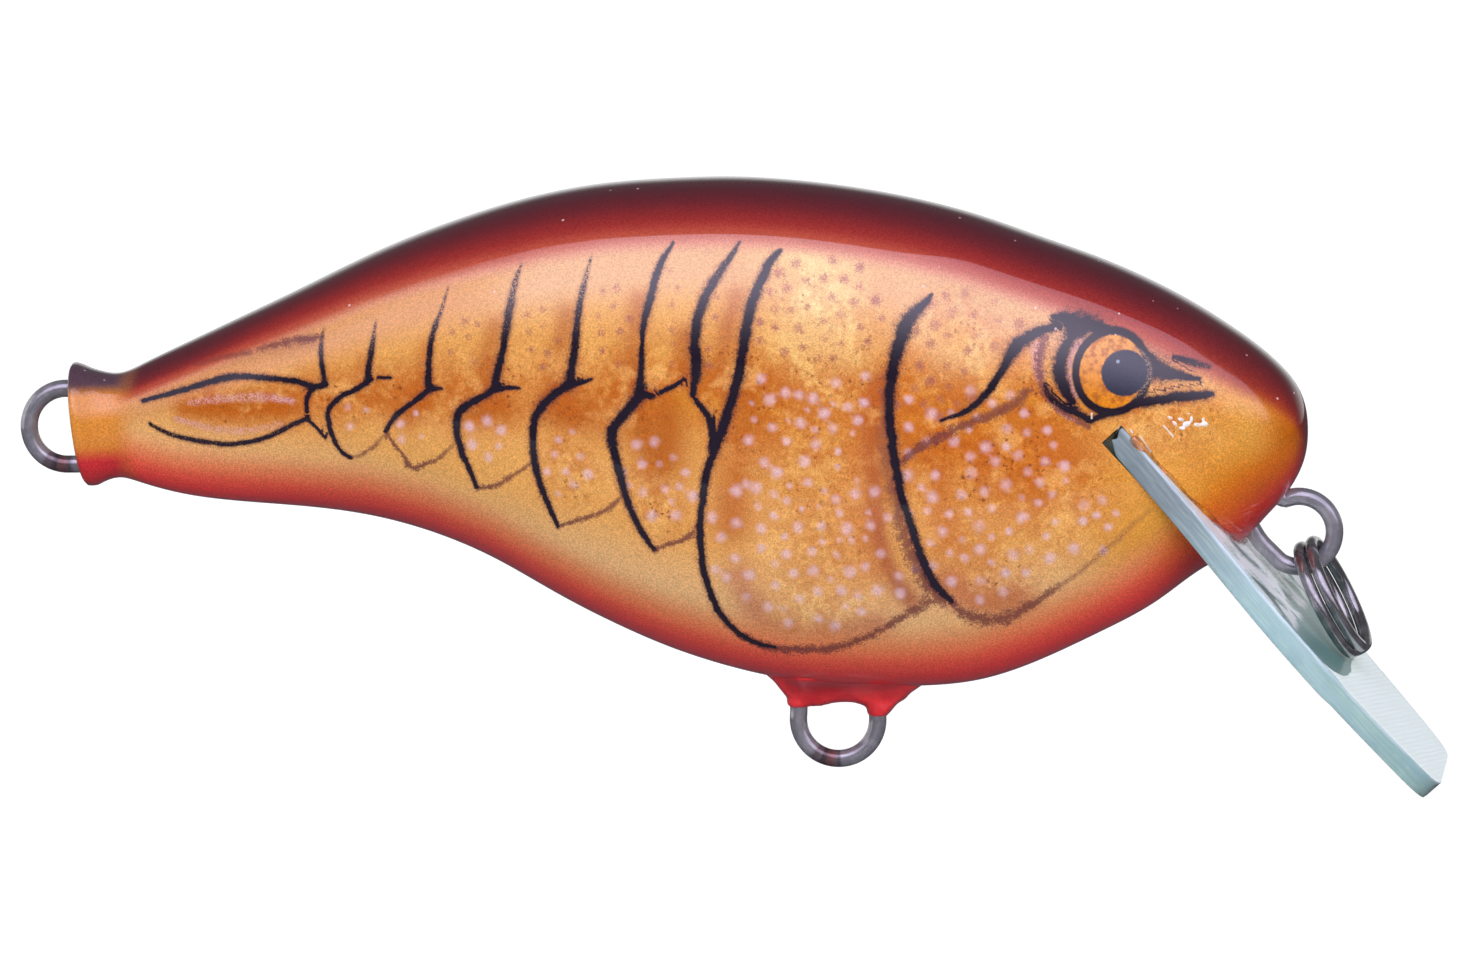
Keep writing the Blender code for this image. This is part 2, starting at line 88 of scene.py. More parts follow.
WIDTH_POWER = 2.2      # exponent of the sections across the width
# Tail face, from its rim inwards: scale of the first section, shift in x
TAIL_FACE = ((0.965, -0.09), (0.90, -0.10), (0.7, 0.10), (0.4, 0.22))
TAIL_FACE_CENTRE = 0.25

# Bill: its own coordinates run along the slope, across it, and above its upper face
LIP_INNER = (19.76, 2.75)        # x, z of the origin, at the inner end
LIP_SLOPE = math.radians(48.5)
LIP_COS, LIP_SIN = math.cos(LIP_SLOPE), math.sin(LIP_SLOPE)
LIP_THICK = 1.05
LIP_COAT = 0.06
LIP_BARE_FROM = 15.95
BOARD_FROM = -0.40
LIP_HALF_OUTLINE = (             # distance along the slope, half width
    (BOARD_FROM, 5.02), (0.35, 5.10), (2.5, 5.42), (5.0, 5.95), (7.5, 6.80),
    (10.0, 7.65), (12.0, 8.10), (14.0, 8.22), (16.0, 8.05), (18.0, 7.60),
    (20.0, 6.98), (21.2, 6.50), (21.9, 5.95), (22.25, 5.25), (22.34, 4.4),
)
SLOT_FROM = -0.50
SLOT_TOP = LIP_COAT + 0.02
SLOT_LOW = -LIP_THICK - LIP_COAT - 0.04

# Wire eyes: x, z, radius to the middle of the wire
LINE_TIE = (27.64, -2.49, 1.70)
BELLY_EYE = (5.29, -11.64, 1.93)
TAIL_EYE = (-32.29, 2.62, 1.855)
WIRE_R = 0.425
RING_WIRE_R = 0.30
RING_OD = 6.20
RING_PITCH = 0.63
RING_DIR = math.radians(-63.3)   # direction the ring hangs in, in the XZ plane
RING_HANG = 3.55
RING_TWIST = math.radians(4.0)

# ------------------------------------------------------------- printed pattern
# Each stroke: strength at its start and end, then (x, z, half width) points.
INK = (
    (0.9, 0.9, ((-28.06, 4.11, 0.1), (-26.18, 4.63, 0.13), (-24.07, 5.26, 0.15),
     (-22.85, 5.41, 0.14), (-20.36, 5.25, 0.14), (-19.42, 4.98, 0.15), (-18.8, 5.09, 0.14))),
    (0.62, 0.72, ((-27.72, 3, 0.08), (-26.7, 2.54, 0.1), (-25.18, 2.24, 0.11),
     (-23.55, 2.13, 0.11), (-21.88, 2.46, 0.11), (-20.6, 3.07, 0.11), (-19.69, 3.48, 0.11))),
    (0.85, 0.8, ((-19.69, 3.38, 0.08), (-19.3, 3.05, 0.08), (-18.87, 2.52, 0.07))),
    (0.85, 0.85, ((-19.42, 4.98, 0.12), (-19.72, 4.44, 0.12), (-19.74, 3.79, 0.1))),
    (0.35, 0.95, ((-18.9, 7.73, 0.06), (-19.02, 6.94, 0.11), (-18.96, 6.04, 0.12),
     (-18.8, 5.09, 0.13))),
    (0.3, 0.95, ((-16.29, 8.21, 0.05), (-16.43, 7.1, 0.12), (-16.61, 6.08, 0.15),
     (-16.67, 5.5, 0.15))),
    (0.95, 0.8, ((-16.52, 5.41, 0.15), (-17.32, 4.87, 0.13), (-17.98, 4.57, 0.12),
     (-18.64, 3.93, 0.12), (-18.63, 3.11, 0.12), (-18.34, 2.23, 0.11), (-17.97, 1.74, 0.1),
     (-17.63, 1.57, 0.08))),
    (0.8, 0.8, ((-16.14, 5.48, 0.08), (-15.54, 5.49, 0.08))),
    (0.3, 0.95, ((-12.74, 9.85, 0.05), (-13, 8.87, 0.08), (-13.47, 7.55, 0.13),
     (-13.65, 6.26, 0.15), (-13.68, 5.01, 0.16))),
    (0.95, 0.6, ((-13.68, 4.96, 0.15), (-13.04, 4.99, 0.07))),
    (0.95, 0.75, ((-13.68, 4.92, 0.15), (-14.36, 4.38, 0.13), (-15.29, 3.69, 0.12),
     (-15.83, 2.91, 0.11))),
    (0.35, 1, ((-9.18, 10.92, 0.05), (-9.44, 10.14, 0.12), (-9.7, 8.78, 0.17),
     (-9.99, 7.06, 0.17), (-10.32, 5.67, 0.19), (-10.43, 5.04, 0.22))),
    (1, 0.8, ((-10.38, 5, 0.17), (-9.79, 5.05, 0.12), (-9.26, 5.05, 0.08))),
    (1, 0.85, ((-10.43, 5, 0.19), (-10.97, 4.66, 0.17), (-11.86, 4.17, 0.19),
     (-12.26, 3.78, 0.19), (-12.32, 3, 0.17), (-12.15, 2.03, 0.16), (-11.82, 1.21, 0.13),
     (-11.45, 0.18, 0.1))),
    (0.3, 1, ((-5.78, 11.38, 0.05), (-6.07, 10.15, 0.12), (-6.33, 8.87, 0.16),
     (-6.49, 7.36, 0.18), (-6.69, 5.93, 0.21), (-6.87, 5.16, 0.24))),
    (1, 0.6, ((-6.78, 5.21, 0.17), (-6.29, 5.31, 0.12), (-5.71, 5.5, 0.07))),
    (1, 0.85, ((-6.92, 5.16, 0.24), (-7.51, 4.78, 0.19), (-8, 4.34, 0.22), (-8.45, 3.71, 0.19),
     (-8.6, 3.04, 0.18), (-8.59, 1.71, 0.17), (-8.28, 0.3, 0.16), (-7.88, -0.75, 0.13),
     (-7.54, -1.66, 0.1))),
    (0.8, 1, ((-1.89, 11.89, 0.07), (-2.2, 11.38, 0.12), (-2.53, 10.72, 0.16),
     (-2.91, 9.25, 0.18), (-3.21, 8.08, 0.15), (-3.28, 7.13, 0.11), (-3.34, 5.94, 0.15),
     (-3.39, 4.89, 0.27))),
    (1, 0.9, ((-3.4, 4.75, 0.22), (-3.01, 4.7, 0.16), (-2.72, 4.71, 0.12))),
    (0.95, 0.8, ((-2.38, 4.89, 0.12), (-1.85, 5.13, 0.11), (-1.27, 5.51, 0.08))),
    (1, 0.85, ((-3.4, 4.75, 0.27), (-3.96, 4.07, 0.24), (-4.57, 3.35, 0.24), (-4.8, 2.87, 0.24),
     (-4.67, 2.01, 0.21), (-4.42, 0.9, 0.19), (-4.11, -0.24, 0.17), (-3.61, -1.54, 0.15),
     (-2.88, -2.72, 0.11))),
    (0.55, 1, ((1.31, 11.93, 0.06), (0.92, 11.28, 0.12), (0.44, 10.59, 0.17),
     (-0.13, 9.62, 0.21), (-0.6, 8.4, 0.23), (-0.74, 7.13, 0.24), (-0.67, 6.18, 0.27),
     (-0.79, 5.23, 0.17), (-0.87, 4.77, 0.15))),
    (0.95, 0.95, ((-0.63, 4.37, 0.12), (-0.23, 3.89, 0.15), (0, 3.36, 0.16), (0.06, 2.69, 0.16),
     (0.03, 2.12, 0.17))),
    (1, 0.9, ((3.25, 11.5, 0.1), (2.88, 11.13, 0.17), (2.52, 10.44, 0.21), (1.98, 9.1, 0.23),
     (1.66, 7.55, 0.24), (1.42, 6.03, 0.24), (1.07, 4.7, 0.24), (0.53, 3.08, 0.24),
     (0.08, 1.88, 0.19), (-0.27, 0.92, 0.19), (-0.44, -0.29, 0.17), (-0.54, -0.87, 0.16),
     (-0.61, -1.74, 0.17), (-0.56, -3.41, 0.17), (-0.4, -4.21, 0.15), (-0.09, -5.31, 0.16),
     (0.39, -6.23, 0.15), (1.01, -6.9, 0.13), (1.8, -7.41, 0.11), (2.71, -7.61, 0.08))),
    (0.75, 1, ((10.52, 9.45, 0.07), (10.2, 9.04, 0.17), (9.64, 8.49, 0.29), (9.27, 7.93, 0.35),
     (8.99, 7.09, 0.3), (8.76, 6.15, 0.27), (8.56, 4.96, 0.24), (8.51, 4.01, 0.21),
     (8.6, 2.96, 0.21), (8.73, 1.86, 0.22), (8.95, 0.43, 0.19), (9.18, -0.53, 0.18))),
    (1, 1, ((9.18, -0.53, 0.19), (9.5, -1.5, 0.19), (9.9, -2.86, 0.19), (10.44, -4.18, 0.22),
     (10.85, -4.73, 0.19), (11.31, -5.23, 0.12))),
    (1, 0.7, ((16.39, 7.88, 0.19), (15.65, 7.67, 0.22), (15.04, 7.35, 0.27), (14.43, 6.85, 0.29),
     (13.97, 6.01, 0.19), (13.42, 5.14, 0.17), (12.77, 4.38, 0.15), (12, 3.85, 0.12),
     (11.4, 3.66, 0.08), (10.93, 3.48, 0.06))),
    (0.8, 1, ((16.29, 8.3, 0.15), (16.76, 8.24, 0.29), (17.38, 7.91, 0.53), (17.99, 7.9, 0.41),
     (18.55, 7.7, 0.29), (19.07, 7.5, 0.22), (19.54, 7.26, 0.19), (20.02, 6.97, 0.19),
     (20.49, 6.59, 0.22))),
    (1, 1, ((20.49, 6.59, 0.22), (20.83, 6.13, 0.39), (21.16, 5.75, 0.46), (21.59, 5.59, 0.34),
     (22.1, 5.49, 0.24), (22.71, 5.33, 0.15), (23.13, 5.27, 0.1))),
    (1, 0.95, ((18.07, 3.41, 0.1), (18.59, 3.68, 0.17), (19.2, 3.91, 0.22), (20.05, 4.18, 0.22),
     (20.94, 4.3, 0.22), (21.78, 4.42, 0.23), (22.72, 4.49, 0.22), (23.46, 4.53, 0.19),
     (23.74, 4.55, 0.12))),
    (0.95, 1, ((17.25, 7.5, 0.24), (16.83, 6.86, 0.27), (16.63, 6.21, 0.3), (16.61, 5.6, 0.3),
     (16.8, 4.98, 0.27), (17.03, 4.51, 0.22), (17.22, 4.32, 0.15))),
    (0.5, 1, ((15.9, 5.14, 0.08), (16.04, 4.71, 0.15), (16.47, 4.28, 0.17), (16.99, 3.99, 0.18),
     (17.55, 3.7, 0.17), (18.07, 3.41, 0.15))),
    (0.7, 0.45, ((22.04, 6.32, 0.11), (22.79, 6.06, 0.17), (23.58, 5.8, 0.11))),
)
BROWN = (
    (0.6, 0.7, ((8.62, 0.67, 0.19), (8.93, -0.77, 0.29), (9.2, -1.98, 0.34),
     (9.65, -3.29, 0.36), (10.24, -4.43, 0.34), (10.79, -5.17, 0.27))),
    (0.5, 0.95, ((-22.03, 6.76, 0.15), (-20.86, 7.08, 0.17), (-19.85, 7.22, 0.17),
     (-18.94, 7.41, 0.12))),
    (0.35, 0.5, ((-25.42, 5.9, 0.12), (-23.92, 6.28, 0.15), (-22.64, 6.56, 0.15))),
    (0.7, 0.4, ((-17.73, 1.55, 0.08), (-17.28, 1.65, 0.1), (-16.81, 1.91, 0.1),
     (-16.3, 2.26, 0.1), (-15.94, 2.71, 0.08))),
    (0.7, 0.9, ((-15.83, 2.91, 0.1), (-15.5, 2.33, 0.08), (-15.22, 1.99, 0.08),
     (-14.81, 1.35, 0.1))),
    (1, 0.45, ((-14.77, 1.2, 0.15), (-14.42, 1.13, 0.15), (-13.97, 1.32, 0.1),
     (-13.26, 1.62, 0.1), (-12.59, 2.22, 0.08))),
    (0.8, 0.55, ((-11.45, 0.18, 0.1), (-10.9, 0.23, 0.11), (-10.19, 0.5, 0.12),
     (-9.44, 0.95, 0.1), (-8.84, 1.36, 0.08))),
    (0.9, 0.55, ((-7.54, -1.66, 0.1), (-6.83, -1.42, 0.12), (-6.04, -1.16, 0.12),
     (-5.04, -0.75, 0.12), (-4.39, -0.16, 0.1))),
    (0.95, 0.8, ((-2.88, -2.72, 0.12), (-2.38, -2.54, 0.12), (-1.79, -2.34, 0.12),
     (-1.2, -2.09, 0.15), (-0.8, -1.6, 0.12))),
    (0.85, 0.7, ((1.06, -6.95, 0.15), (1.8, -7.41, 0.17), (2.7, -7.66, 0.19),
     (3.68, -7.72, 0.19), (4.65, -7.69, 0.19), (5.48, -7.63, 0.19), (6.37, -7.36, 0.17),
     (7.53, -6.87, 0.17), (8.99, -5.97, 0.19), (10.26, -5.22, 0.24))),
    (0.35, 0.45, ((8.42, 5.2, 0.22), (8.27, 4.01, 0.27), (8.26, 2.58, 0.29), (8.48, 0.67, 0.29),
     (8.79, -0.77, 0.27))),
    (0.8, 0.6, ((11.31, -5.23, 0.22), (11.72, -5.73, 0.27), (12.27, -6.04, 0.29),
     (13.16, -6.21, 0.29), (14.11, -6.03, 0.27), (15.13, -5.44, 0.22), (16.39, -4.61, 0.15))),
    (0.42, 0.3, ((16.39, -4.61, 0.12), (17.54, -3.79, 0.15), (18.65, -2.82, 0.15),
     (19.85, -1.77, 0.15), (20.8, -0.91, 0.12))),
    (0.58, 0.78, ((15.05, 4.87, 0.19), (14.58, 4.35, 0.24), (13.73, 3.93, 0.24),
     (12.76, 3.51, 0.22), (11.68, 3.09, 0.22), (10.59, 2.52, 0.22), (9.68, 2.05, 0.22),
     (9.01, 1.48, 0.19))),
    (0.7, 0.85, ((15.84, 7.34, 0.19), (15.66, 6.69, 0.22), (15.62, 5.94, 0.22),
     (15.71, 5.38, 0.19))),
    (0.7, 0.6, ((15.67, 5.75, 0.19), (15.81, 5, 0.22), (16.33, 4.23, 0.19), (16.89, 3.75, 0.19),
     (17.46, 3.41, 0.17), (17.93, 3.12, 0.12))),
)
PALE = (
    (0.35, 0.5, ((-25.65, 4.02, 0.15), (-24.11, 4.31, 0.19), (-21.98, 4.45, 0.19),
     (-20.48, 4.29, 0.15))),
    (0.45, 0.3, ((-26.38, 3.28, 0.12), (-24.65, 2.89, 0.17), (-22.82, 2.79, 0.17),
     (-21.1, 3.16, 0.15))),
    (0.8, 0.9, ((17.58, 7.21, 0.12), (17.21, 6.67, 0.12), (17.01, 5.83, 0.12),
     (17.13, 5.07, 0.12), (17.36, 4.6, 0.1))),
    (0.55, 0.6, ((15.56, 7.02, 0.22), (15.52, 6.32, 0.24), (15.67, 5.47, 0.19))),
    (0.6, 0.5, ((16.23, 4.33, 0.1), (16.8, 3.75, 0.12), (17.46, 3.37, 0.1))),
)
# Spot centres: x, z
SPOTS = (
    (2.43, 5.53), (2.83, 4.53), (3.57, 4.86), (4.24, 4.73), (4.91, 4.59), (2.95, 3.19),
    (3.61, 2.52), (5.02, 2.38), (5.43, 3.85), (4.29, 3.39), (5.83, 3.12), (5.98, 5.32),
    (7.38, 5.65), (6.51, 4.18), (7.31, 4.38), (7.04, 3.51), (1.8, 2.58), (2.53, 1.51),
    (3.12, 1.04), (4.47, 1.57), (4.59, 0.57), (5.92, -0.24), (6.86, 0.02), (7.8, 0.09),
    (1.16, 0.16), (1.64, 0.5), (2.11, 0.3), (1.13, -1.4), (2.96, -1.05), (4.09, -1.6),
    (5.23, -1.53), (6.44, -1.67), (7.58, -1.53), (8.39, -1.13), (-0.01, -1.13), (0.37, -2.08),
    (2.31, -2.62), (1.02, -3.11), (0.05, -3.67), (0.57, -4.08), (1.66, -3.94), (3.52, -2.89),
    (4.74, -2.76), (4.78, -3.72), (3.83, -3.86), (2.93, -4.42), (2.54, -5.54), (4.05, -5.11),
    (4.95, -6.1), (3.45, -6.32), (6.99, -5.74), (6.52, -3.78), (6.09, -4.68), (8.02, -2.89),
    (7.83, -4.68), (8.86, -3.99), (8.9, -4.82), (10.68, 0.88), (10.54, -0.19), (10.98, -1.82),
    (9.45, 4.51), (9.44, 3.17), (9.42, 1.96), (-3.6, 2.38), (-3.34, 1.43), (-1.25, 1.03),
    (-0.93, -0.11), (-1.76, -1), (-2.92, -1.08),
)
DIM_SPOTS = (
    (2.82, 9.63), (3.83, 8.77), (4.63, 8.9), (3.11, 7.92), (2.37, 7.33), (4.45, 6.99),
    (6.25, 7.18), (7.52, 7.24), (0.22, 8.46), (5.38, 8.24), (4.54, 10.14),
)
# Areas of scattered spots: centre x, z, radii x, z, how many, spot size range
SPOT_FIELDS = (
    (13, 0.8, 4, 4.2, 52, 0.14, 0.25), (12.4, -3.4, 2.8, 1.8, 14, 0.16, 0.26),
    (17.3, -1.6, 2.2, 2, 9, 0.15, 0.25), (4.6, -4.4, 3.4, 2.2, 26, 0.14, 0.24),
    (5, -0.6, 3.2, 2.4, 24, 0.12, 0.22), (4.4, 3.4, 3, 1.8, 20, 0.11, 0.2),
    (-2.9, 0.5, 1.5, 2.1, 12, 0.13, 0.22), (-7, 1.6, 1.2, 1.9, 9, 0.13, 0.22),
    (-11, 2.6, 1, 1.1, 6, 0.15, 0.25), (-14.5, 3.2, 0.9, 1, 4, 0.11, 0.18),
    (-17.3, 3.6, 0.6, 0.8, 3, 0.11, 0.18),
)
DIM_FIELDS = (
    (5.2, 8.8, 3.2, 2.4, 36, 0.15, 0.25), (12.2, 8.2, 2.6, 1.5, 18, 0.15, 0.25),
    (10.6, 4.9, 2.4, 1.3, 16, 0.15, 0.25), (-0.2, 8, 0.6, 2.2, 6, 0.12, 0.18),
    (-1.9, 8.4, 0.6, 2.2, 6, 0.12, 0.18), (-4.8, 8, 1, 2, 9, 0.12, 0.18),
    (-8.3, 7.6, 1, 1.6, 8, 0.12, 0.18), (-11.8, 7.2, 0.9, 1.2, 6, 0.12, 0.18),
)
# Wide soft shading: path of x, z points, spread, amount, display colour
SHADES = (
    (((4.6, 10.8), (5.2, 8.6), (5.4, 6.8)), 1.35, 0.85, (241, 212, 140)),
    (((10.2, 7.4), (11.4, 6.4), (12.8, 6.4)), 1.0, 0.5, (244, 208, 148)),
    (((2.8, -3.6), (4.6, -4.8), (6.6, -4.4)), 1.3, 0.5, (240, 194, 124)),
    (((5.0, 6.2), (5.2, 5.2)), 1.0, 0.5, (232, 176, 92)),
    (((1.25, 9.4), (0.65, 7.2), (0.45, 5.3)), 0.40, 0.66, (164, 80, 32)),
    (((-3.45, 9.2), (-3.8, 6.6), (-3.75, 5.0)), 0.42, 0.66, (166, 82, 28)),
    (((-6.9, 8.6), (-7.25, 6.6), (-7.45, 5.2)), 0.42, 0.62, (166, 82, 26)),
    (((-10.4, 8.0), (-10.75, 6.3), (-10.95, 5.2)), 0.38, 0.6, (166, 82, 26)),
    (((-13.8, 7.0), (-14.1, 5.2)), 0.30, 0.45, (180, 90, 30)),
    (((-17.0, 6.4), (-17.2, 5.4)), 0.28, 0.40, (180, 90, 30)),
    (((-1.2, 7.6), (-1.35, 5.8)), 0.36, 0.66, (160, 76, 26)),
    (((-2.2, 3.6), (-2.4, 1.6), (-3.4, 3.6)), 0.85, 0.85, (168, 84, 10)),
    (((-6.0, 3.4), (-6.4, 3.8), (-7.4, 3.9)), 0.72, 0.82, (170, 84, 10)),
    (((-10.2, 4.2), (-11.2, 3.8)), 0.58, 0.78, (172, 86, 12)),
    (((-13.8, 4.3), (-14.6, 3.8)), 0.45, 0.75, (174, 88, 14)),
    (((-26.0, 3.75), (-24.0, 3.9), (-21.0, 3.9)), 0.34, 0.80, (178, 92, 18)),
    (((-24.2, 6.3), (-21.6, 6.9), (-19.6, 7.2)), 0.32, 0.55, (146, 84, 66)),
    (((8.1, 5.4), (7.75, 3.4), (7.8, 0.0), (8.2, -3.2), (9.4, -5.2)), 0.42, 0.80,
     (150, 72, 50)),
    (((7.3, 4.4), (6.9, 1.0), (7.2, -3.4)), 0.8, 0.45, (190, 100, 40)),
    (((9.6, 6.4), (9.3, 3.6)), 0.6, 0.5, (206, 122, 50)),
    (((10.4, 2.6), (13.0, 2.0), (16.0, 1.2)), 1.25, 0.85, (196, 108, 14)),
    (((16.4, 2.6), (17.8, 1.6)), 0.9, 0.5, (194, 108, 36)),
    (((10.6, 0.4), (11.0, -2.0)), 0.7, 0.5, (186, 96, 34)),
    (((11.2, -4.2), (12.6, -5.3), (14.6, -5.2)), 0.55, 0.65, (178, 92, 62)),
    (((1.9, 5.2), (1.2, 2.0), (0.9, -1.4)), 0.8, 0.76, (176, 88, 20)),
    (((1.2, -4.0), (2.4, -6.4), (5.0, -7.2), (7.8, -6.4)), 0.55, 0.60, (176, 98, 78)),
    (((15.0, 6.9), (14.2, 5.4)), 0.5, 0.4, (206, 124, 60)),
)
# Mottled areas: path of x, z points, spread, amount
MOTTLES = (
    (((2.2, 4.8), (4.6, 3.0)), 2.2, 1.0),
    (((4.9, 1.0), (5.4, -2.0), (5.0, -5.2)), 2.2, 0.62),
    (((10.5, 2.4), (13.4, 1.6), (16.0, 0.6)), 2.4, 1.0),
    (((12.0, -1.8), (13.4, -4.0)), 1.8, 0.7),
    (((4.0, 9.6), (6.8, 7.6)), 1.8, 0.55),
    (((11.5, 8.2), (13.4, 7.0)), 1.3, 0.6),
    (((-3.0, 1.6), (-2.4, -1.0)), 1.0, 0.8),
    (((-7.2, 2.2), (-6.6, 0.6)), 0.9, 0.8),
)


# ------------------------------------------------------------------- utilities
def lin(*srgb):
    """8-bit display colour to linear."""
    shares = [level / 255 for level in srgb]
    return tuple(s / 12.92 if s <= 0.04045 else ((s + 0.055) / 1.055) ** 2.4
                 for s in shares)


def smooth(start, end, value):
    """Smooth step from 0 at start to 1 at end; start may be the larger."""
    t = np.clip((value - start) / (end - start), 0, 1)
    return t * t * (3 - 2 * t)


def catmull(points, step, axes=None):
    """Catmull-Rom curve resampled at about one step, which is measured
    over the first axes columns (all of them when None)."""
    pts = [np.array(p, float) for p in points]
    out = [pts[0]]
    last = len(pts) - 1
    for i in range(last):
        a, b = pts[max(i - 1, 0)], pts[i]
        c, d = pts[i + 1], pts[min(i + 2, last)]
        parts = max(1, int(math.ceil(np.linalg.norm((c - b)[:axes]) / step)))
        for k in range(1, parts + 1):
            t = k / parts
            out.append(0.5 * (2 * b + (c - a) * t
                              + (2 * a - 5 * b + 4 * c - d) * t * t
                              + (3 * b - a - 3 * c + d) * t ** 3))
    return np.array(out)


def natural_spline(knots, values, at):
    """Natural cubic spline of the columns of values, read at the points at."""
    n = len(knots)
    gap = np.diff(knots)
    matrix = np.zeros((n, n))
    rhs = np.zeros((n, values.shape[1]))
    matrix[0, 0] = matrix[-1, -1] = 1
    for i in range(1, n - 1):
        matrix[i, i - 1:i + 2] = gap[i - 1], 2 * (gap[i - 1] + gap[i]), gap[i]
        rhs[i] = 6 * ((values[i + 1] - values[i]) / gap[i]
                      - (values[i] - values[i - 1]) / gap[i - 1])
    bend = np.linalg.solve(matrix, rhs)
    k = np.clip(np.searchsorted(knots, at) - 1, 0, n - 2)
    span = gap[k][:, None]
    ahead = (knots[k + 1] - at)[:, None]
    past = (at - knots[k])[:, None]
    return (bend[k] * ahead ** 3 + bend[k + 1] * past ** 3) / (6 * span) \
        + (values[k] / span - bend[k] * span / 6) * ahead \
        + (values[k + 1] / span - bend[k + 1] * span / 6) * past


def section_at(x):
    """The columns of BODY read at x, straight between sections."""
    return [np.interp(x, BODY[:, 0], column) for column in BODY.T]


def flank_at(x, z):
    """Half width of the body at a place on its side, 0 outside it."""
    _, top, bottom, half, power, _ = section_at(x)
    mid, tall = (top + bottom) / 2, max((top - bottom) / 2, 1e-6)
    u = abs(z - mid) / tall
    return 0.0 if u >= 1 else half * (1 - u ** power) ** (1 / WIDTH_POWER)


def lip_coords(x, z):
    dx, dz = x - LIP_INNER[0], z - LIP_INNER[1]
    return dx * LIP_COS - dz * LIP_SIN, dx * LIP_SIN + dz * LIP_COS


def lip_point(along, across, above):
    return (LIP_INNER[0] + along * LIP_COS + above * LIP_SIN, across,
            LIP_INNER[1] - along * LIP_SIN + above * LIP_COS)


def add_object(name, data):
    obj = bpy.data.objects.new(name, data)
    bpy.context.scene.collection.objects.link(obj)
    return obj


def raw_mesh(name, verts, faces):
    mesh = bpy.data.meshes.new(name)
    mesh.from_pydata(verts, [], faces)
    return mesh


def mesh_object(name, verts, faces, mats, body, face_mats=None, matrix=None):
    """A smooth piece made from millimetre points and ridden on a CAD body."""
    mesh = raw_mesh(name, [(x * MM, y * MM, z * MM) for x, y, z in verts], faces)
    for mat in mats:
        mesh.materials.append(mat)
    if face_mats is not None:
        mesh.polygons.foreach_set("material_index", face_mats)
    mesh.shade_smooth()
    mesh.update()
    obj = add_object(name, mesh)
    if matrix is not None:
        obj.matrix_world = matrix
    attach(obj, body)
    fix_normals(mesh)
    return obj


def fix_normals(mesh):
    bm = bmesh.new()
    bm.from_mesh(mesh)
    bmesh.ops.recalc_face_normals(bm, faces=bm.faces)
    bm.to_mesh(mesh)
    bm.free()


def sweep(path, radius, sides):
    """A round bar with rounded ends; radius may be given for each point."""
    path = np.array(path, float)
    radius = np.full(len(path), radius) if np.isscalar(radius) else radius
    tangents = np.gradient(path, axis=0)
    tangents /= np.linalg.norm(tangents, axis=1)[:, None]
    up = np.array((0.0, 1.0, 0.0))
    if abs(tangents[0] @ up) > 0.9:
        up = np.array((0.0, 0.0, 1.0))
    normal = np.cross(tangents[0], up)
    normal /= np.linalg.norm(normal)
    rows = []
    for point, tangent, r in zip(path, tangents, radius):
        normal = normal - tangent * (normal @ tangent)
        normal /= np.linalg.norm(normal)
        rows.append((point, normal, np.cross(tangent, normal), tangent, r))

    def cap_row(row, sign, reach, share):
        point, first, second, tangent, r = row
        return point + sign * (tangent * r * 0.35 * reach), first, second, tangent, r * share

    near_cap, far_cap = (0.45, 0.86), (1.0, 0.55)      # reach, share of the radius
    rows = [cap_row(rows[0], -1, *far_cap), cap_row(rows[0], -1, *near_cap), *rows,
            cap_row(rows[-1], 1, *near_cap), cap_row(rows[-1], 1, *far_cap)]
    verts = [point + (first * math.cos(angle) + second * math.sin(angle)) * r
             for point, first, second, _, r in rows
             for angle in np.arange(sides) * 2 * math.pi / sides]
    faces = []
    for i in range(len(rows) - 1):
        for j in range(sides):
            k = (j + 1) % sides
            faces.append((i * sides + j, (i + 1) * sides + j,
                          (i + 1) * sides + k, i * sides + k))
    faces.append(tuple(range(sides)))
    faces.append(tuple((len(rows) - 1) * sides + j for j in reversed(range(sides))))
    return np.array(verts), faces


def places(mesh):
    co = np.zeros(len(mesh.vertices) * 3)
    mesh.vertices.foreach_get("co", co)
    return co.reshape(-1, 3)


def set_attr(mesh, name, values):
    """A point attribute: a number, vector or colour by the count of columns."""
    columns = values.shape[1] if values.ndim > 1 else 1
    kind, key = {1: ("FLOAT", "value"), 3: ("FLOAT_VECTOR", "vector"),
                 4: ("FLOAT_COLOR", "color")}[columns]
    attr = mesh.attributes.new(name, kind, "POINT")
    attr.data.foreach_set(key, np.ascontiguousarray(values, np.float32).ravel())


def opaque(colours):
    return np.column_stack((colours, np.ones(len(colours))))


# ------------------------------------------------------------- material graphs
class Value:
    """An output of a Graph's node; arithmetic on it adds Math nodes."""

    def __init__(self, net, socket):
        self.net = net
        self.socket = socket

    def __add__(self, other):
        return self.net.math("ADD", self, other)

    def __sub__(self, other):
        return self.net.math("SUBTRACT", self, other)

    def __rsub__(self, other):
        return self.net.math("SUBTRACT", other, self)

    def __mul__(self, other):
        return self.net.math("MULTIPLY", self, other)

    def __truediv__(self, other):
        return self.net.math("DIVIDE", self, other)

    def ramp(self, start, end, low=0.0, high=1.0):
        """Smooth step: low at start, high at end; start may be the larger."""
        if start > end:
            start, end, low, high = end, start, high, low
        inputs = dict(enumerate((self, start, end, low, high)))
        return self.net.add("MapRange", inputs, 0, interpolation_type="SMOOTHSTEP")


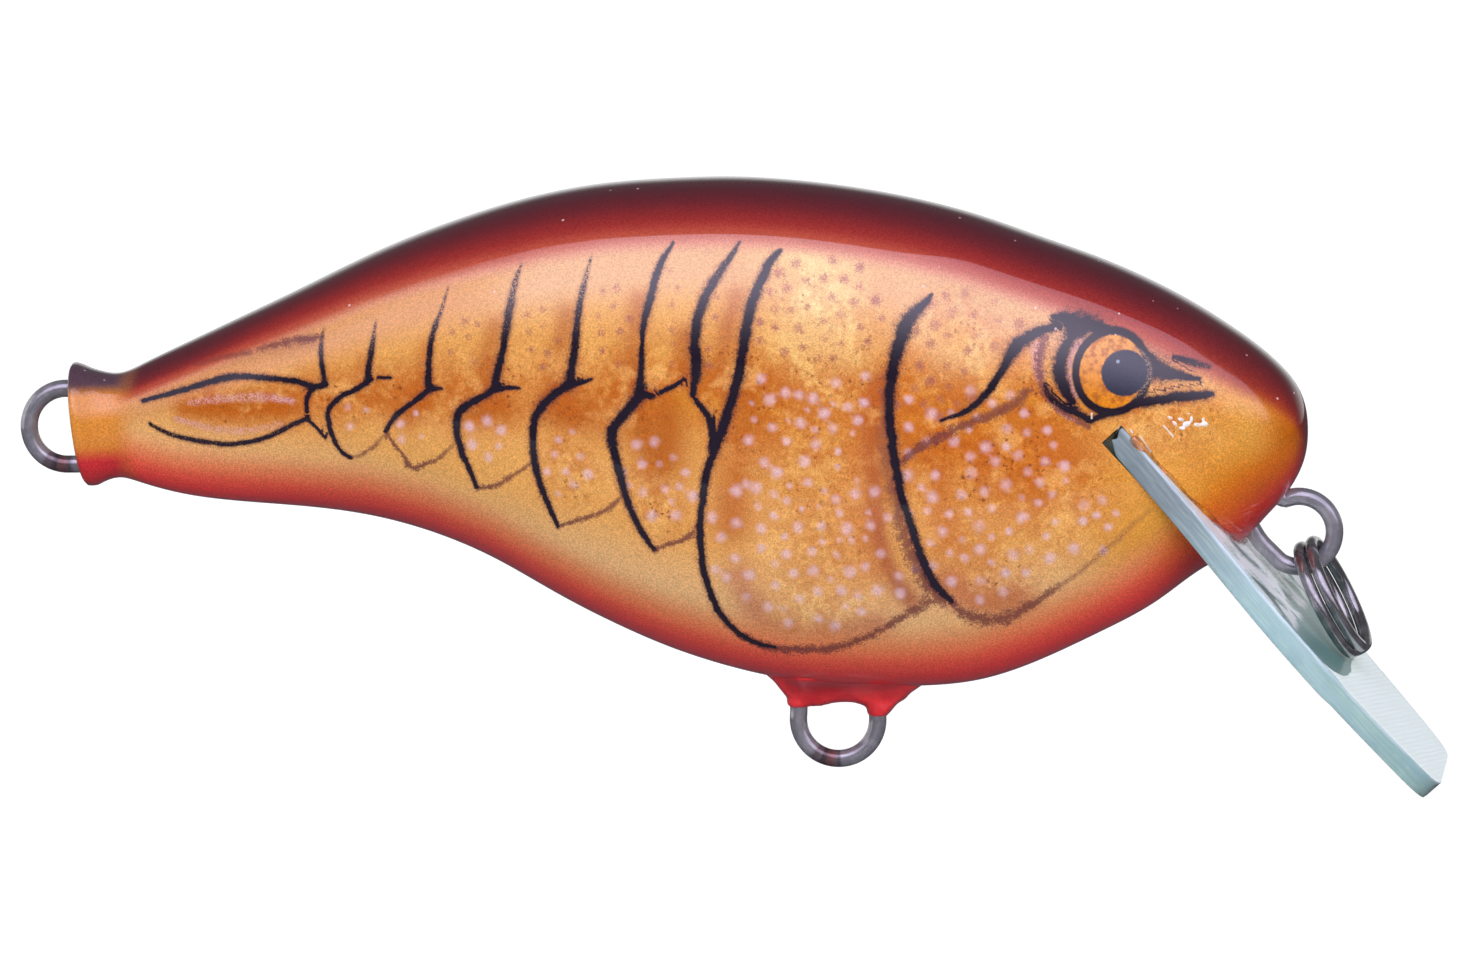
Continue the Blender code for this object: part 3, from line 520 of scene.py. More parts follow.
class Graph:
    """The node tree of a material or world, built by short calls."""

    def __init__(self, owner, empty=False):
        owner.use_nodes = True
        self.owner = owner
        self.tree = owner.node_tree
        if empty:
            self.tree.nodes.clear()

    def put(self, socket, value):
        if isinstance(value, Value):
            self.tree.links.new(value.socket, socket)
        elif isinstance(value, tuple) and len(value) == 3 and socket.type == "RGBA":
            socket.default_value = (*value, 1.0)
        else:
            socket.default_value = value

    def add(self, kind, inputs, *outputs, **settings):
        """A new node; gives its named output, or a list of several."""
        node = self.tree.nodes.new("ShaderNode" + kind)
        for key, setting in settings.items():
            setattr(node, key, setting)
        for key, value in inputs.items():
            self.put(node.inputs[key], value)
        found = [Value(self, node.outputs[key]) for key in outputs]
        return found[0] if len(found) == 1 else found

    def math(self, operation, *values):
        return self.add("Math", dict(enumerate(values)), 0, operation=operation)

    def split(self, vector):
        return self.add("SeparateXYZ", {0: vector}, 0, 1, 2)

    def join(self, x, y, z):
        return self.add("CombineXYZ", {0: x, 1: y, 2: z}, 0)

    def length(self, across, up):
        return self.add("VectorMath", {0: self.join(across, up, 0.0)}, "Value",
                        operation="LENGTH")

    def millimetres(self):
        """Object coordinates x, y and z in millimetres."""
        return self.split(self.add("VectorMath", {0: self.coord, "Scale": 1 / MM},
                                   "Vector", operation="SCALE"))

    def mix(self, share, below, above, kind="MIX"):
        return self.add("Mix", {0: share, 6: below, 7: above}, 2,
                        data_type="RGBA", blend_type=kind)

    def noise(self, scale, detail=2.0, rough=0.5, stretch=None):
        vector = self.coord
        if stretch is not None:
            vector = self.add("VectorMath", {0: vector, 1: stretch}, "Vector",
                              operation="MULTIPLY")
        return self.add("TexNoise", {"Vector": vector, "Scale": scale,
                                     "Detail": detail, "Roughness": rough}, "Fac")

    def cells(self, scale):
        return self.add("TexVoronoi", {"Vector": self.coord, "Scale": scale},
                        "Distance", "Color")

    def attr(self, name, output="Fac"):
        return self.add("Attribute", {}, output, attribute_name=name)

    def bump(self, height, strength, distance):
        return self.add("Bump", {"Height": height, "Strength": strength,
                                 "Distance": distance}, "Normal")

    def set(self, **values):
        """Fill inputs of the Principled shader; gives the material."""
        for key, value in values.items():
            self.put(self.tree.nodes["Principled BSDF"].inputs[key.replace("_", " ")],
                     value)
        return self.owner


def shader(name):
    net = Graph(bpy.data.materials.new(name))
    net.coord = net.add("TexCoord", {}, "Object")
    return net


# ------------------------------------------------------------- paint material
def mottling(net, colour, blur, fine):
    """Patches, clouds and speckle in the areas the airbrush left open."""
    mottle = net.attr("mottle")
    patch = net.noise(scale=620, detail=3, rough=0.6) * 0.6 + blur * 0.4
    patch = patch.ramp(0.37, 0.57) * mottle
    colour = net.mix(patch * 0.74, colour, lin(180, 88, 12))
    cloud = net.noise(scale=560, detail=3, rough=0.6).ramp(0.52, 0.66, high=0.5)
    colour = net.mix(cloud * mottle, colour, lin(240, 186, 104))
    # brown dots in some of the cells
    distance, cell = net.cells(scale=3400)
    dots = (distance + fine * 0.7).ramp(0.42, 0.10)
    dots = dots * net.split(cell)[0].ramp(0.40, 0.6)
    dots = dots * mottle.ramp(0.15, 0.8)
    dots = dots * net.noise(scale=420).ramp(0.42, 0.60)
    return net.mix(dots * 0.80, colour, lin(124, 56, 22))


def stroke_distance(net, name, slack):
    """Distance to a stroke in half widths, from its printed attribute."""
    across, up, straight = net.split(net.attr(name + "_q", "Vector"))
    return net.math("MAXIMUM", net.length(across, up), straight - slack)


def print_stroke(net, colour, name, tint, fine, coarse, hardness, rough, spread=0.0,
                 most=1.0):
    """Lay one kind of stroke; gives the colour and the stroke's mask."""
    distance = stroke_distance(net, name, slack=0.8)
    distance = distance + fine * rough
    distance = distance + coarse * (rough * 1.3)
    mask = distance.ramp(1.0 + hardness + spread, 1.0 - hardness)
    # faint strokes break into grain before they vanish
    keep = (net.attr(name + "_s") + fine * 1.3).ramp(0.15, 0.62)
    mask = mask * (keep * most)
    return net.mix(mask, colour, tint), mask


def print_dots(net, colour, name, tint, fine, coarse, most):
    distance = stroke_distance(net, name, slack=0.1)
    distance = distance + fine * 1.5
    distance = distance + coarse * 0.9
    mask = distance.ramp(1.55, 0.20, high=most) * net.attr(name + "_s")
    return net.mix(mask, colour, tint)


def print_eye(net, colour, x, z, grain, fine, blur, coarse):
    """Gold iris in a black ring, with a dark pupil and a catch light painted in as a highlight.
    Places are x, z.
    """
    eye_at, eye_radii = (19.05, 5.71), (1.52, 1.70)
    pupil_at, catchlight_at = (19.64, 5.64), (19.33, 6.18)
    eye = net.length((x - eye_at[0]) / eye_radii[0], (z - eye_at[1]) / eye_radii[1])
    eye = eye + coarse * 0.05
    colour = net.mix(eye.ramp(1.28, 1.20), colour, lin(30, 22, 32))
    iris = eye.ramp(1.03, 0.97)
    gold = net.mix(z.ramp(4.6, 7.2), lin(212, 130, 18), lin(220, 150, 64))
    gold = net.mix((blur + fine * 0.4).ramp(0.45, 0.66, high=0.75), gold,
                   lin(158, 80, 16))
    colour = net.mix(iris, colour, gold)
    pupil = net.length(x - pupil_at[0], z - pupil_at[1]) + fine * 0.10
    # broken pale rim on the nose side of the pupil
    rim = pupil.ramp(1.36, 1.26) * x.ramp(19.7, 20.4)
    rim = rim * grain.ramp(0.42, 0.58)
    colour = net.mix(rim * 0.55, colour, lin(148, 124, 100))
    colour = net.mix(pupil.ramp(1.14, 1.04), colour, lin(36, 39, 56))
    # catch light: a painted highlight, a pale dot in the eye
    painted_catchlight = net.length(x - catchlight_at[0], z - catchlight_at[1])
    return net.mix(painted_catchlight.ramp(0.11, 0.05), colour, lin(140, 150, 170))


def paint_material():
    """The printed crayfish pattern under a thick clear coat."""
    net = shader("paint_and_clear")
    grain = net.noise(scale=13000, detail=1)
    fine = grain - 0.5
    blur = net.noise(scale=3200)
    coarse = blur - 0.5
    noises = {"fine": fine, "coarse": coarse}
    colour = mottling(net, net.attr("base", "Color"), blur, fine)

    # fuzzy dots: brown ones up on the shell, lilac ones below
    colour = print_dots(net, colour, "dim", lin(162, 94, 78), most=0.85, **noises)
    colour = print_dots(net, colour, "spot", lin(220, 188, 194), most=0.74, **noises)
    colour, _ = print_stroke(net, colour, "pale", lin(204, 152, 148),
                             hardness=0.75, rough=1.9, most=0.85, **noises)
    colour, _ = print_stroke(net, colour, "brown", lin(108, 54, 52),
                             hardness=0.75, rough=2.1, most=0.86, **noises)
    # a soft purple-brown edge round the black, as print bleed
    colour, _ = print_stroke(net, colour, "ink", lin(110, 52, 46), hardness=0.6,
                             rough=1.3, spread=0.95, most=0.72, **noises)
    colour, ink = print_stroke(net, colour, "ink", lin(28, 20, 32),
                               hardness=0.34, rough=0.75, spread=0.08, **noises)
    x, _, z = net.millimetres()
    colour = print_eye(net, colour, x, z, grain, fine, blur, coarse)

    # gold flake, stronger at the nose, then print grain
    _, flake_cell = net.cells(scale=15000)
    flake = net.split(flake_cell)[1].ramp(0.72, 0.9)
    open_paint = 1.0 - ink
    flake = flake * open_paint * x.ramp(20.0, 24.5, low=0.35, high=1.5)
    brighter = net.mix(1.0, colour, (1.5, 1.45, 1.3), "MULTIPLY")
    colour = net.mix(flake * 0.25, colour, brighter)
    shade = grain.ramp(0.28, 0.72, low=0.80, high=1.18)
    colour = net.mix(1.0, colour, net.join(shade, shade, shade), "MULTIPLY")
    # dust caught in the clear coat, seen in the dark back
    dust, dust_cell = net.cells(scale=900)
    speck = dust.ramp(0.070, 0.045) * net.split(dust_cell)[2].ramp(0.50, 0.52)
    speck = speck * net.attr("back")
    colour = net.mix(speck * 0.75, colour, lin(226, 196, 186))

    # coat relief: slow waves with the specks standing proud
    height = net.noise(scale=150) * 1.0 + speck * 0.25
    pearl = net.attr("pearl") * open_paint
    return net.set(
        Base_Color=colour, Roughness=grain.ramp(0.3, 0.7, low=0.34, high=0.50),
        Metallic=pearl * x.ramp(20.0, 25.0, low=0.08, high=0.22),
        Specular_IOR_Level=0.06, Coat_Weight=1.0, Coat_Roughness=0.025, Coat_IOR=1.62,
        Coat_Normal=net.bump(height, strength=0.30, distance=0.00006))


# ------------------------------------------------------------- other materials
def red_lacquer_material():
    net = shader("red_run")
    tone = net.noise(scale=700, detail=3)
    colour = net.mix(tone.ramp(0.35, 0.65), lin(200, 30, 38), lin(232, 52, 54))
    colour = net.mix(net.noise(scale=9000, detail=1).ramp(0.55, 0.75, high=0.35),
                     colour, lin(150, 28, 32))
    wave = net.noise(scale=420)
    return net.set(Base_Color=colour, Roughness=0.35, Coat_Weight=1.0,
                   Coat_Roughness=0.02, Coat_IOR=1.6,
                   Normal=net.bump(wave, strength=0.35, distance=0.0002),
                   Coat_Normal=net.bump(wave, strength=0.35, distance=0.0002))


def slot_wall_material():
    net = shader("slot_wall")
    tone = net.noise(scale=2500, detail=3)
    colour = net.mix(tone.ramp(0.35, 0.65), lin(58, 50, 22), lin(104, 86, 40))
    return net.set(Base_Color=colour, Roughness=0.45, Coat_Weight=0.6,
                   Coat_Roughness=0.1)


def wire_material(name, dark, light, metal):
    net = shader(name)
    streak = net.noise(scale=1300, detail=3, rough=0.6)
    tone = net.mix(streak.ramp(0.40, 0.66), dark, light)
    colour = net.mix(1.0, tone, net.attr("tint", "Color"), "MULTIPLY")
    fine = net.noise(scale=16000)
    return net.set(Base_Color=colour, Metallic=metal,
                   Roughness=fine.ramp(0.35, 0.7, low=0.11, high=0.19),
                   Normal=net.bump(fine, strength=0.06, distance=0.00001))


def board_face_material():
    """Glass-cloth board: cut dull and pale where bare, clear where coated."""
    net = shader("board_face")
    x, y, z = net.millimetres()
    # woven cloth: threads both ways, skewed and a little irregular
    skew, warp_pitch, weft_pitch = 0.145, 25.6, 8.0    # pitches in radians per mm
    drift = net.noise(scale=500) * 2.4
    across = (x - y * skew) * warp_pitch
    along = (y + x * skew) * weft_pitch
    warp = net.math("SINE", across + drift)
    weft = net.math("SINE", along + drift * 2.0)
    broken = net.noise(scale=3000)
    cloth = warp + weft * 0.5
    cloth = cloth * broken.ramp(0.3, 0.62) + (broken - 0.5) * 2.0
    cloud = net.noise(scale=900, detail=3)
    # the coat ends in a line that rounds back at the board's sides
    edge = net.math("POWER", net.math("ABSOLUTE", y / 8.2), 6.0) * -1.6 \
        + (LIP_BARE_FROM - 0.35)
    edge = edge + (net.noise(scale=200) - 0.5) * 0.7
    coated = (x - edge).ramp(0.06, -0.06)
    bare = net.mix(cloth.ramp(-0.9, 0.9), lin(214, 230, 224), lin(238, 249, 244))
    bare = net.mix(cloud.ramp(0.4, 0.7, high=0.5), bare, lin(218, 232, 227))
    clear = net.mix(cloth.ramp(-1.0, 1.0), lin(184, 206, 200), lin(206, 224, 218))
    clear = net.mix(x.ramp(9.6, 13.4) * 0.92, clear, lin(90, 134, 128))
    # pale patches, a painted reflection in the resin, and darker patches, towards the body
    blot = net.noise(scale=420, detail=1.5)
    clear = net.mix(blot.ramp(0.47, 0.50, high=0.9) * x.ramp(12.4, 11.8), clear,
                    lin(232, 239, 240))
    clear = net.mix(blot.ramp(0.41, 0.38, high=0.85) * x.ramp(12.2, 10.6), clear,
                    lin(78, 98, 96))
    colour = net.mix(coated, bare, clear)
    relief = net.bump(cloth, strength=0.35 - coated * 0.30, distance=0.00002)
    # painted light: the board glows faintly in its own colour, less where coated, for light
    # shining through it
    return net.set(Base_Color=colour, Roughness=0.55 - coated * 0.20, Normal=relief,
                   Emission_Color=colour, Emission_Strength=0.36 - coated * 0.20,
                   Specular_IOR_Level=0.04, Coat_Weight=coated * 0.15,
                   Coat_Roughness=0.12, Coat_IOR=1.5)


def board_edge_material():
    """Sawn edge: fine broken laminations, blue-green where light comes through."""
    net = shader("board_edge")
    x, y, z = net.millimetres()
    ply = net.noise(scale=1, detail=3, rough=0.65, stretch=(500.0, 500.0, 9000.0))
    broad = net.noise(scale=1, stretch=(180.0, 180.0, 2200.0))
    cloud = net.noise(scale=700, detail=3, rough=0.6)
    colour = net.mix(ply.ramp(0.36, 0.66), lin(146, 179, 172), lin(162, 194, 186))
    colour = net.mix(broad.ramp(0.40, 0.62, high=0.5), colour, lin(148, 182, 188))
    colour = net.mix(cloud.ramp(0.45, 0.68, high=0.35), colour, lin(126, 164, 170))
    # greyer near the body, and a pale line at the upper arris, a painted highlight
    grey = net.mix(ply.ramp(0.36, 0.66), lin(98, 110, 114), lin(122, 134, 138))
    colour = net.mix(x.ramp(11.0, 3.0, high=0.85), colour, grey)
    colour = net.mix(z.ramp(-0.16, -0.02, high=0.7) * ply.ramp(0.3, 0.6), colour,
                     lin(196, 212, 222))
    fine = net.noise(scale=14000)
    return net.set(Base_Color=colour, Roughness=0.38,
                   Normal=net.bump(ply + fine, strength=0.25, distance=0.00002),
                   Coat_Weight=0.25, Coat_Roughness=0.15)


def epoxy_material():
    net = shader("epoxy_clear")
    tone = net.noise(scale=900)
    cloud = net.noise(scale=2600)
    colour = net.mix(tone.ramp(0.4, 0.6), lin(190, 200, 196), lin(226, 232, 228))
    wave = net.noise(scale=1300)
    return net.set(Base_Color=colour, Roughness=0.04, IOR=1.55,
                   Alpha=cloud.ramp(0.45, 0.72, low=0.10, high=0.34),
                   Specular_IOR_Level=0.8,
                   Normal=net.bump(wave, strength=0.5, distance=0.0003))


def cheek_resin_material():
    """Resin wiped over orange paint: takes the paint's colour, glossy on top."""
    net = shader("cheek_resin")
    x, y, z = net.millimetres()
    tone = net.noise(scale=1400)
    colour = net.mix(tone.ramp(0.4, 0.6), lin(150, 82, 20), lin(216, 134, 34))
    # red over the belly
    colour = net.mix((z - x * 0.2).ramp(-5.6, -6.8), colour, lin(160, 52, 40))
    wave = net.noise(scale=1500)
    return net.set(Base_Color=colour, Roughness=0.06, IOR=1.55,
                   Alpha=net.noise(scale=2200).ramp(0.40, 0.62, low=0.30, high=0.72),
                   Specular_IOR_Level=0.9, Coat_Weight=1.0, Coat_Roughness=0.03,
                   Coat_IOR=1.7, Normal=net.bump(wave, strength=0.6, distance=0.0003))


def glint_material():
    """Raised flecks of clear resin, coloured near-white all over as a painted glint."""
    net = shader("resin_glint")
    tone = net.noise(scale=3200)
    colour = net.mix(tone.ramp(0.35, 0.6), lin(240, 220, 186), lin(250, 250, 248))
    return net.set(Base_Color=colour, Roughness=0.08, Alpha=0.85,
                   Specular_IOR_Level=1.0, Coat_Weight=1.0, Coat_Roughness=0.03,
                   Coat_IOR=1.7)


def balsa_material():
    """Balsa with its grain along X."""
    net = shader("balsa_grain")
    rings = net.noise(scale=900, detail=4, rough=0.6, stretch=(0.06, 1.0, 1.0))
    fleck = net.noise(scale=5200, detail=3, rough=0.6, stretch=(0.10, 1.0, 1.0))
    colour = net.mix(rings.ramp(0.3, 0.7), lin(206, 176, 134), lin(230, 208, 172))
    colour = net.mix(fleck.ramp(0.56, 0.72, high=0.5), colour, lin(176, 142, 98))
    return net.set(Base_Color=colour, Roughness=0.85,
                   Normal=net.bump(fleck, strength=0.4, distance=0.0001))


def lead_material():
    net = shader("cast_lead")
    tone = net.noise(scale=1600, detail=4, rough=0.65)
    colour = net.mix(tone.ramp(0.35, 0.65), lin(82, 86, 94), lin(138, 142, 150))
    return net.set(Base_Color=colour, Metallic=1.0,
                   Roughness=tone.ramp(0.3, 0.7, low=0.45, high=0.7),
                   Normal=net.bump(tone, strength=0.5, distance=0.0001))


def filler_material():
    net = shader("filler_paste")
    tone = net.noise(scale=2400, detail=4, rough=0.7)
    colour = net.mix(tone.ramp(0.35, 0.65), lin(176, 146, 104), lin(206, 180, 140))
    return net.set(Base_Color=colour, Roughness=0.9,
                   Normal=net.bump(tone, strength=0.6, distance=0.0001))


# -------------------------------------------------------------- the body's skin
def body_rows(count):
    """Smoothed body sections from tail to nose."""
    hop = np.linalg.norm(np.diff(BODY[:, :4], axis=0), axis=1)
    knots = np.concatenate(([0], np.cumsum(hop)))
    dense_at = np.linspace(0, knots[-1], 6000)
    dense = natural_spline(knots, BODY, dense_at)
    change = np.diff(dense[:, :4], axis=0)
    size = np.sqrt(change[:, 0] ** 2 + 0.35 * (change[:, 1:] ** 2).sum(axis=1))
    run = np.concatenate(([0], np.cumsum(size)))
    at = np.interp(np.linspace(0, run[-1], count), run, dense_at)
    rows = natural_spline(knots, BODY, at)
    rows[:, 3] = np.maximum(rows[:, 3], 0)
    return rows


def ring_of(row, count, samples=1440):
    """Points round one section, closer together on the top and belly."""
    x, top, bottom, half, power, lean = row
    mid, tall = (top + bottom) / 2, max((top - bottom) / 2, 1e-6)
    angle = np.linspace(-math.pi / 2, 3 * math.pi / 2, samples + 1)
    cos, sin = np.cos(angle), np.sin(angle)
    y = half * np.sign(cos) * np.abs(cos) ** (2 / WIDTH_POWER)
    z = tall * np.sign(sin) * np.abs(sin) ** (2 / power)
    dy, dz = np.diff(y), np.diff(z)
    size = np.hypot(dy, dz) + 1e-12
    weight = 0.40 + 0.60 * np.abs(dz) / size
    run = np.concatenate(([0], np.cumsum(size * weight)))
    at = np.linspace(0, run[-1], count + 1)[:-1]
    ring_y, ring_z = np.interp(at, run, y), np.interp(at, run, z)
    return np.column_stack((np.full(count, x) - lean * ring_z, ring_y, mid + ring_z))


def loft_body(bm, rows, count):
    verts = [ring_of(row, count) for row in rows[:-1]]
    grid = [[bm.verts.new(p) for p in ring] for ring in verts]
    for a, b in zip(grid, grid[1:]):
        for i in range(count):
            j = (i + 1) % count
            bm.faces.new((a[i], a[j], b[j], b[i]))
    tip = bm.verts.new((BODY[-1, 0], 0, BODY[-1, 1]))
    last = grid[-1]
    for i in range(count):
        bm.faces.new((last[i], last[(i + 1) % count], tip))
    # tail face: a lacquered end, slightly dished, with a rounded lip
    ring = verts[0]
    mid = ring.mean(axis=0)
    previous = grid[0]
    for scale, push in TAIL_FACE:
        loop = [bm.verts.new(tuple(mid + (p - mid) * scale + (push, 0, 0)))
                for p in ring]
        for i in range(count):
            j = (i + 1) % count
            bm.faces.new((previous[j], previous[i], loop[i], loop[j]))
        previous = loop
    centre = bm.verts.new(tuple(mid + (TAIL_FACE_CENTRE, 0, 0)))
    for i in range(count):
        bm.faces.new((previous[(i + 1) % count], previous[i], centre))
    bmesh.ops.recalc_face_normals(bm, faces=bm.faces)


def saw_slot(bm):
    """Cut the bill's slot and give it walls running inwards."""
    along, above = Vector((LIP_COS, 0, -LIP_SIN)), Vector((LIP_SIN, 0, LIP_COS))
    origin = Vector((LIP_INNER[0], 0, LIP_INNER[1]))

    def faces_where(test):
        found = []
        for face in bm.faces:
            middle = face.calc_center_median()
            if test(*lip_coords(middle.x, middle.z)):
                found.append(face)
        return found

    def near():
        picked = faces_where(lambda p, q: p > SLOT_FROM - 0.9 and -2.4 < q < 1.4)
        found = set(picked)
        for face in picked:
            found.update(face.edges)
            found.update(face.verts)
        return list(found)

    for point, normal in ((origin + above * SLOT_TOP, above),
                          (origin + above * SLOT_LOW, above),
                          (origin + along * SLOT_FROM, along)):
        bmesh.ops.bisect_plane(bm, geom=near(), dist=1e-4, plane_co=point,
                               plane_no=normal)
    doomed = faces_where(lambda p, q: p > SLOT_FROM and SLOT_LOW < q < SLOT_TOP)
    bmesh.ops.delete(bm, geom=doomed, context="FACES")
    rim = [edge for edge in bm.edges if edge.is_boundary]
    for edge in rim:
        edge.smooth = False
    for item in bmesh.ops.extrude_edge_only(bm, edges=rim)["geom"]:
        if isinstance(item, bmesh.types.BMVert):
            p, q = lip_coords(item.co.x, item.co.z)
            p = SLOT_FROM + (p - SLOT_FROM) * 0.62
            item.co = Vector(lip_point(p, item.co.y * 0.5, q))
        elif isinstance(item, bmesh.types.BMFace):
            item.material_index = 1


def build_skin(paint, wall):
    row_count, ring_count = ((340, 272))
    bm = bmesh.new()
    loft_body(bm, body_rows(row_count), ring_count)
    saw_slot(bm)
    mesh = bpy.data.meshes.new("lure_skin")
    bm.to_mesh(mesh)
    bm.free()
    mesh.materials.append(paint)
    mesh.materials.append(wall)
    for poly in mesh.polygons:
        poly.use_smooth = True
    paint_attributes(mesh)
    mesh.transform(Matrix.Scale(MM, 4))
    obj = add_object("lure_skin", mesh)
    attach(obj, "lure")
    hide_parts("lacquer_shell", "tail_collar")


def nearest_stroke(points, strokes, reach=3.0):
    """For each point: (dx, dz, distance) over half width to the nearest
    stroke, and that stroke's strength there."""
    offsets = np.full((len(points), 3), 9.0)
    strength = np.zeros(len(points))
    best = np.full(len(points), 9.0)
    for first, last, raw in strokes:
        if len(raw) > 1:
            pts = catmull(raw, 0.25, axes=2)
        else:
            pts = np.array(raw, float)
            pts = np.vstack((pts, pts + (1e-4, 0, 0)))
        margin = pts[:, 2].max() * reach
        low = pts[:, :2].min(axis=0) - margin - 0.35
        high = pts[:, :2].max(axis=0) + margin + 0.35
        inside = np.nonzero(((points > low) & (points < high)).all(axis=1))[0]
        if not len(inside):
            continue
        near = points[inside]
        run = np.concatenate(([0], np.cumsum(np.linalg.norm(
            np.diff(pts[:, :2], axis=0), axis=1))))
        total = max(run[-1], 1e-6)
        local = np.full(len(near), 9.0)
        local_offsets = np.full((len(near), 3), 9.0)
        local_strength = np.zeros(len(near))
        for k in range(len(pts) - 1):
            a, b = pts[k], pts[k + 1]
            ab = b[:2] - a[:2]
            t = np.clip(((near - a[:2]) @ ab) / max(ab @ ab, 1e-9), 0, 1)
            width = np.maximum(a[2] + (b[2] - a[2]) * t, 0.03)
            delta = near - (a[:2] + t[:, None] * ab)
            dist = np.hypot(delta[:, 0], delta[:, 1]) / width
            win = dist < local
            local[win] = dist[win]
            local_offsets[win] = np.column_stack((delta / width[:, None], dist))[win]
            part = (run[k] + (run[k + 1] - run[k]) * t) / total
            local_strength[win] = (first + (last - first) * part)[win]
        better = local < best[inside]
        where = inside[better]
        best[where] = local[better]
        offsets[where] = local_offsets[better]
        strength[where] = local_strength[better]
    return np.clip(offsets, -9, 9), strength


def soft_stroke(points, path, sigma):
    """How much of a wide soft stroke reaches each point, 0 to 1."""
    pts = catmull(path, 0.4)
    nearest = np.full(len(points), 1e9)
    for a, b in zip(pts, pts[1:]):
        ab = b - a
        t = np.clip(((points - a) @ ab) / max(ab @ ab, 1e-9), 0, 1)
        delta = points - (a + t[:, None] * ab)
        nearest = np.minimum(nearest, (delta ** 2).sum(axis=1))
    return np.exp(-nearest / (2 * sigma ** 2))


def base_colours(points, bottom, from_top):
    """The airbrushed colours, laid one over another."""
    x, z = points.T
    colour = np.tile(np.array(lin(220, 162, 84)), (len(x), 1))

    def over(mask, tint):
        colour[:] = colour + (np.array(tint) - colour) * mask[:, None]

    def blend(first, second, share):
        return lin(*first) + (np.array(lin(*second)) - lin(*first)) * share[:, None]

    # pale cream where each plate meets the back
    cream = smooth(2.6, 3.1, from_top) * smooth(6.0, 4.0, from_top)
    over(cream * smooth(-13, -8, x) * 0.9, lin(212, 164, 112))
    over(cream * smooth(-8, -13, x) * 0.85, lin(204, 142, 82))
    # and a darker orange band along the middle
    band_z = np.interp(x, (-24, -16, 0, 20), (4.0, 4.6, 4.8, 3.6))
    band_half = np.interp(x, (-24, -14, 0), (0.9, 1.3, 1.9))
    fore = smooth(-8, 0, x)
    over(np.exp(-((z - band_z) / band_half) ** 2) * smooth(-27, -24, x)
         * (0.5 + 0.27 * fore), blend((190, 100, 20), (203, 128, 14), fore))
    # the open flank below the plates is paler and smoother
    plate_low = np.interp(x, (-28, -18, -6, 4, 20), (2.6, 1.6, -2.0, -5.0, -3.0))
    over(smooth(1.6, -1.6, z - plate_low) * 0.9, lin(225, 180, 122))
    # soft shading inside each printed plate
    for path, sigma, amount, tint in SHADES:
        over(soft_stroke(points, path, sigma) * amount, lin(*tint))
    # nose: deeper orange, lighter towards the top as a painted sheen
    nose_top_sheen = smooth(0.4, 2.8, z)
    over(smooth(16.5, 20.5, x) * 0.85, blend((214, 148, 48), (222, 166, 86), nose_top_sheen))
    over(smooth(21.5, 25.0, x) * 0.95, blend((206, 126, 14), (219, 156, 66), nose_top_sheen))
    over(smooth(25.3, 27.5, x) * 0.95, lin(192, 98, 5))
    # belly red: height above the bottom, colour, colour towards the nose
    low = (z - bottom) / np.interp(x, (-31.5, -28, -20, -10, 19, 22, 25, 26.5, 28),
                                   (0.80, 0.82, 0.87, 1.0, 1.0, 1.15, 1.22, 0.92, 0.52))
    fore = smooth(19.5, 23.0, x)
    for height, tint, deep in ((3.0, (226, 142, 88), (206, 106, 20)),
                               (2.1, (234, 102, 70), (198, 86, 26)),
                               (1.3, (238, 66, 60), (194, 52, 40)),
                               (0.4, (246, 46, 52), (194, 36, 44))):
        over(smooth(height + 0.75, height - 0.75, low), blend(tint, deep, fore))
    # back, orange to near-black maroon: depth, half blur, colour, colour at the nose
    fore = smooth(22.5, 25.5, x)
    for depth, blur, tint, deep in ((3.0, 0.35, (204, 138, 104), (182, 84, 30)),
                                    (2.65, 0.35, (184, 88, 62), (156, 56, 34)),
                                    (2.2, 0.6, (152, 44, 38), (134, 38, 34)),
                                    (1.5, 0.75, (110, 32, 36), (104, 32, 34)),
                                    (0.75, 0.75, (78, 30, 40), (76, 30, 38))):
        blur = blur * (1 + 1.3 * smooth(20.0, 25.0, x))
        over(smooth(depth + blur, depth - blur, from_top), blend(tint, deep, fore))
    over(smooth(-21.0, -26.0, x) * smooth(2.3, 1.2, from_top) * 0.6, lin(84, 32, 40))
    # the very front of the nose, by distance behind x = 28.1
    over(smooth(0.75, -0.05, 28.1 - x) * 0.75, lin(120, 34, 30))
    # tail collar: purple top, orange middle, red underside
    tail = smooth(-28.3, -29.8, x)
    up = z - 2.75
    over(tail * 0.9, lin(204, 128, 38))
    over(tail * smooth(1.45, 2.15, up), lin(84, 62, 72))
    over(tail * smooth(-0.75, -1.75, up), lin(206, 48, 52))
    return np.clip(colour, 0, 1)


def mottle_amount(points, from_top, from_low):
    x, z = points.T
    band_z = np.interp(x, (-24, -16, 0, 20), (4.0, 4.8, 5.2, 4.0))
    band_half = np.interp(x, (-24, -14, 0), (1.2, 1.7, 2.3))
    mottle = np.exp(-((z - band_z) / band_half) ** 2) \
        * smooth(-27.5, -24, x) * smooth(26, 22, x)
    for path, sigma, amount in MOTTLES:
        mottle = np.maximum(mottle, soft_stroke(points, path, sigma) * amount)
    mottle = mottle * smooth(2.0, 4.2, from_top) * smooth(1.6, 3.4, from_low)
    return np.clip(mottle, 0, 1)


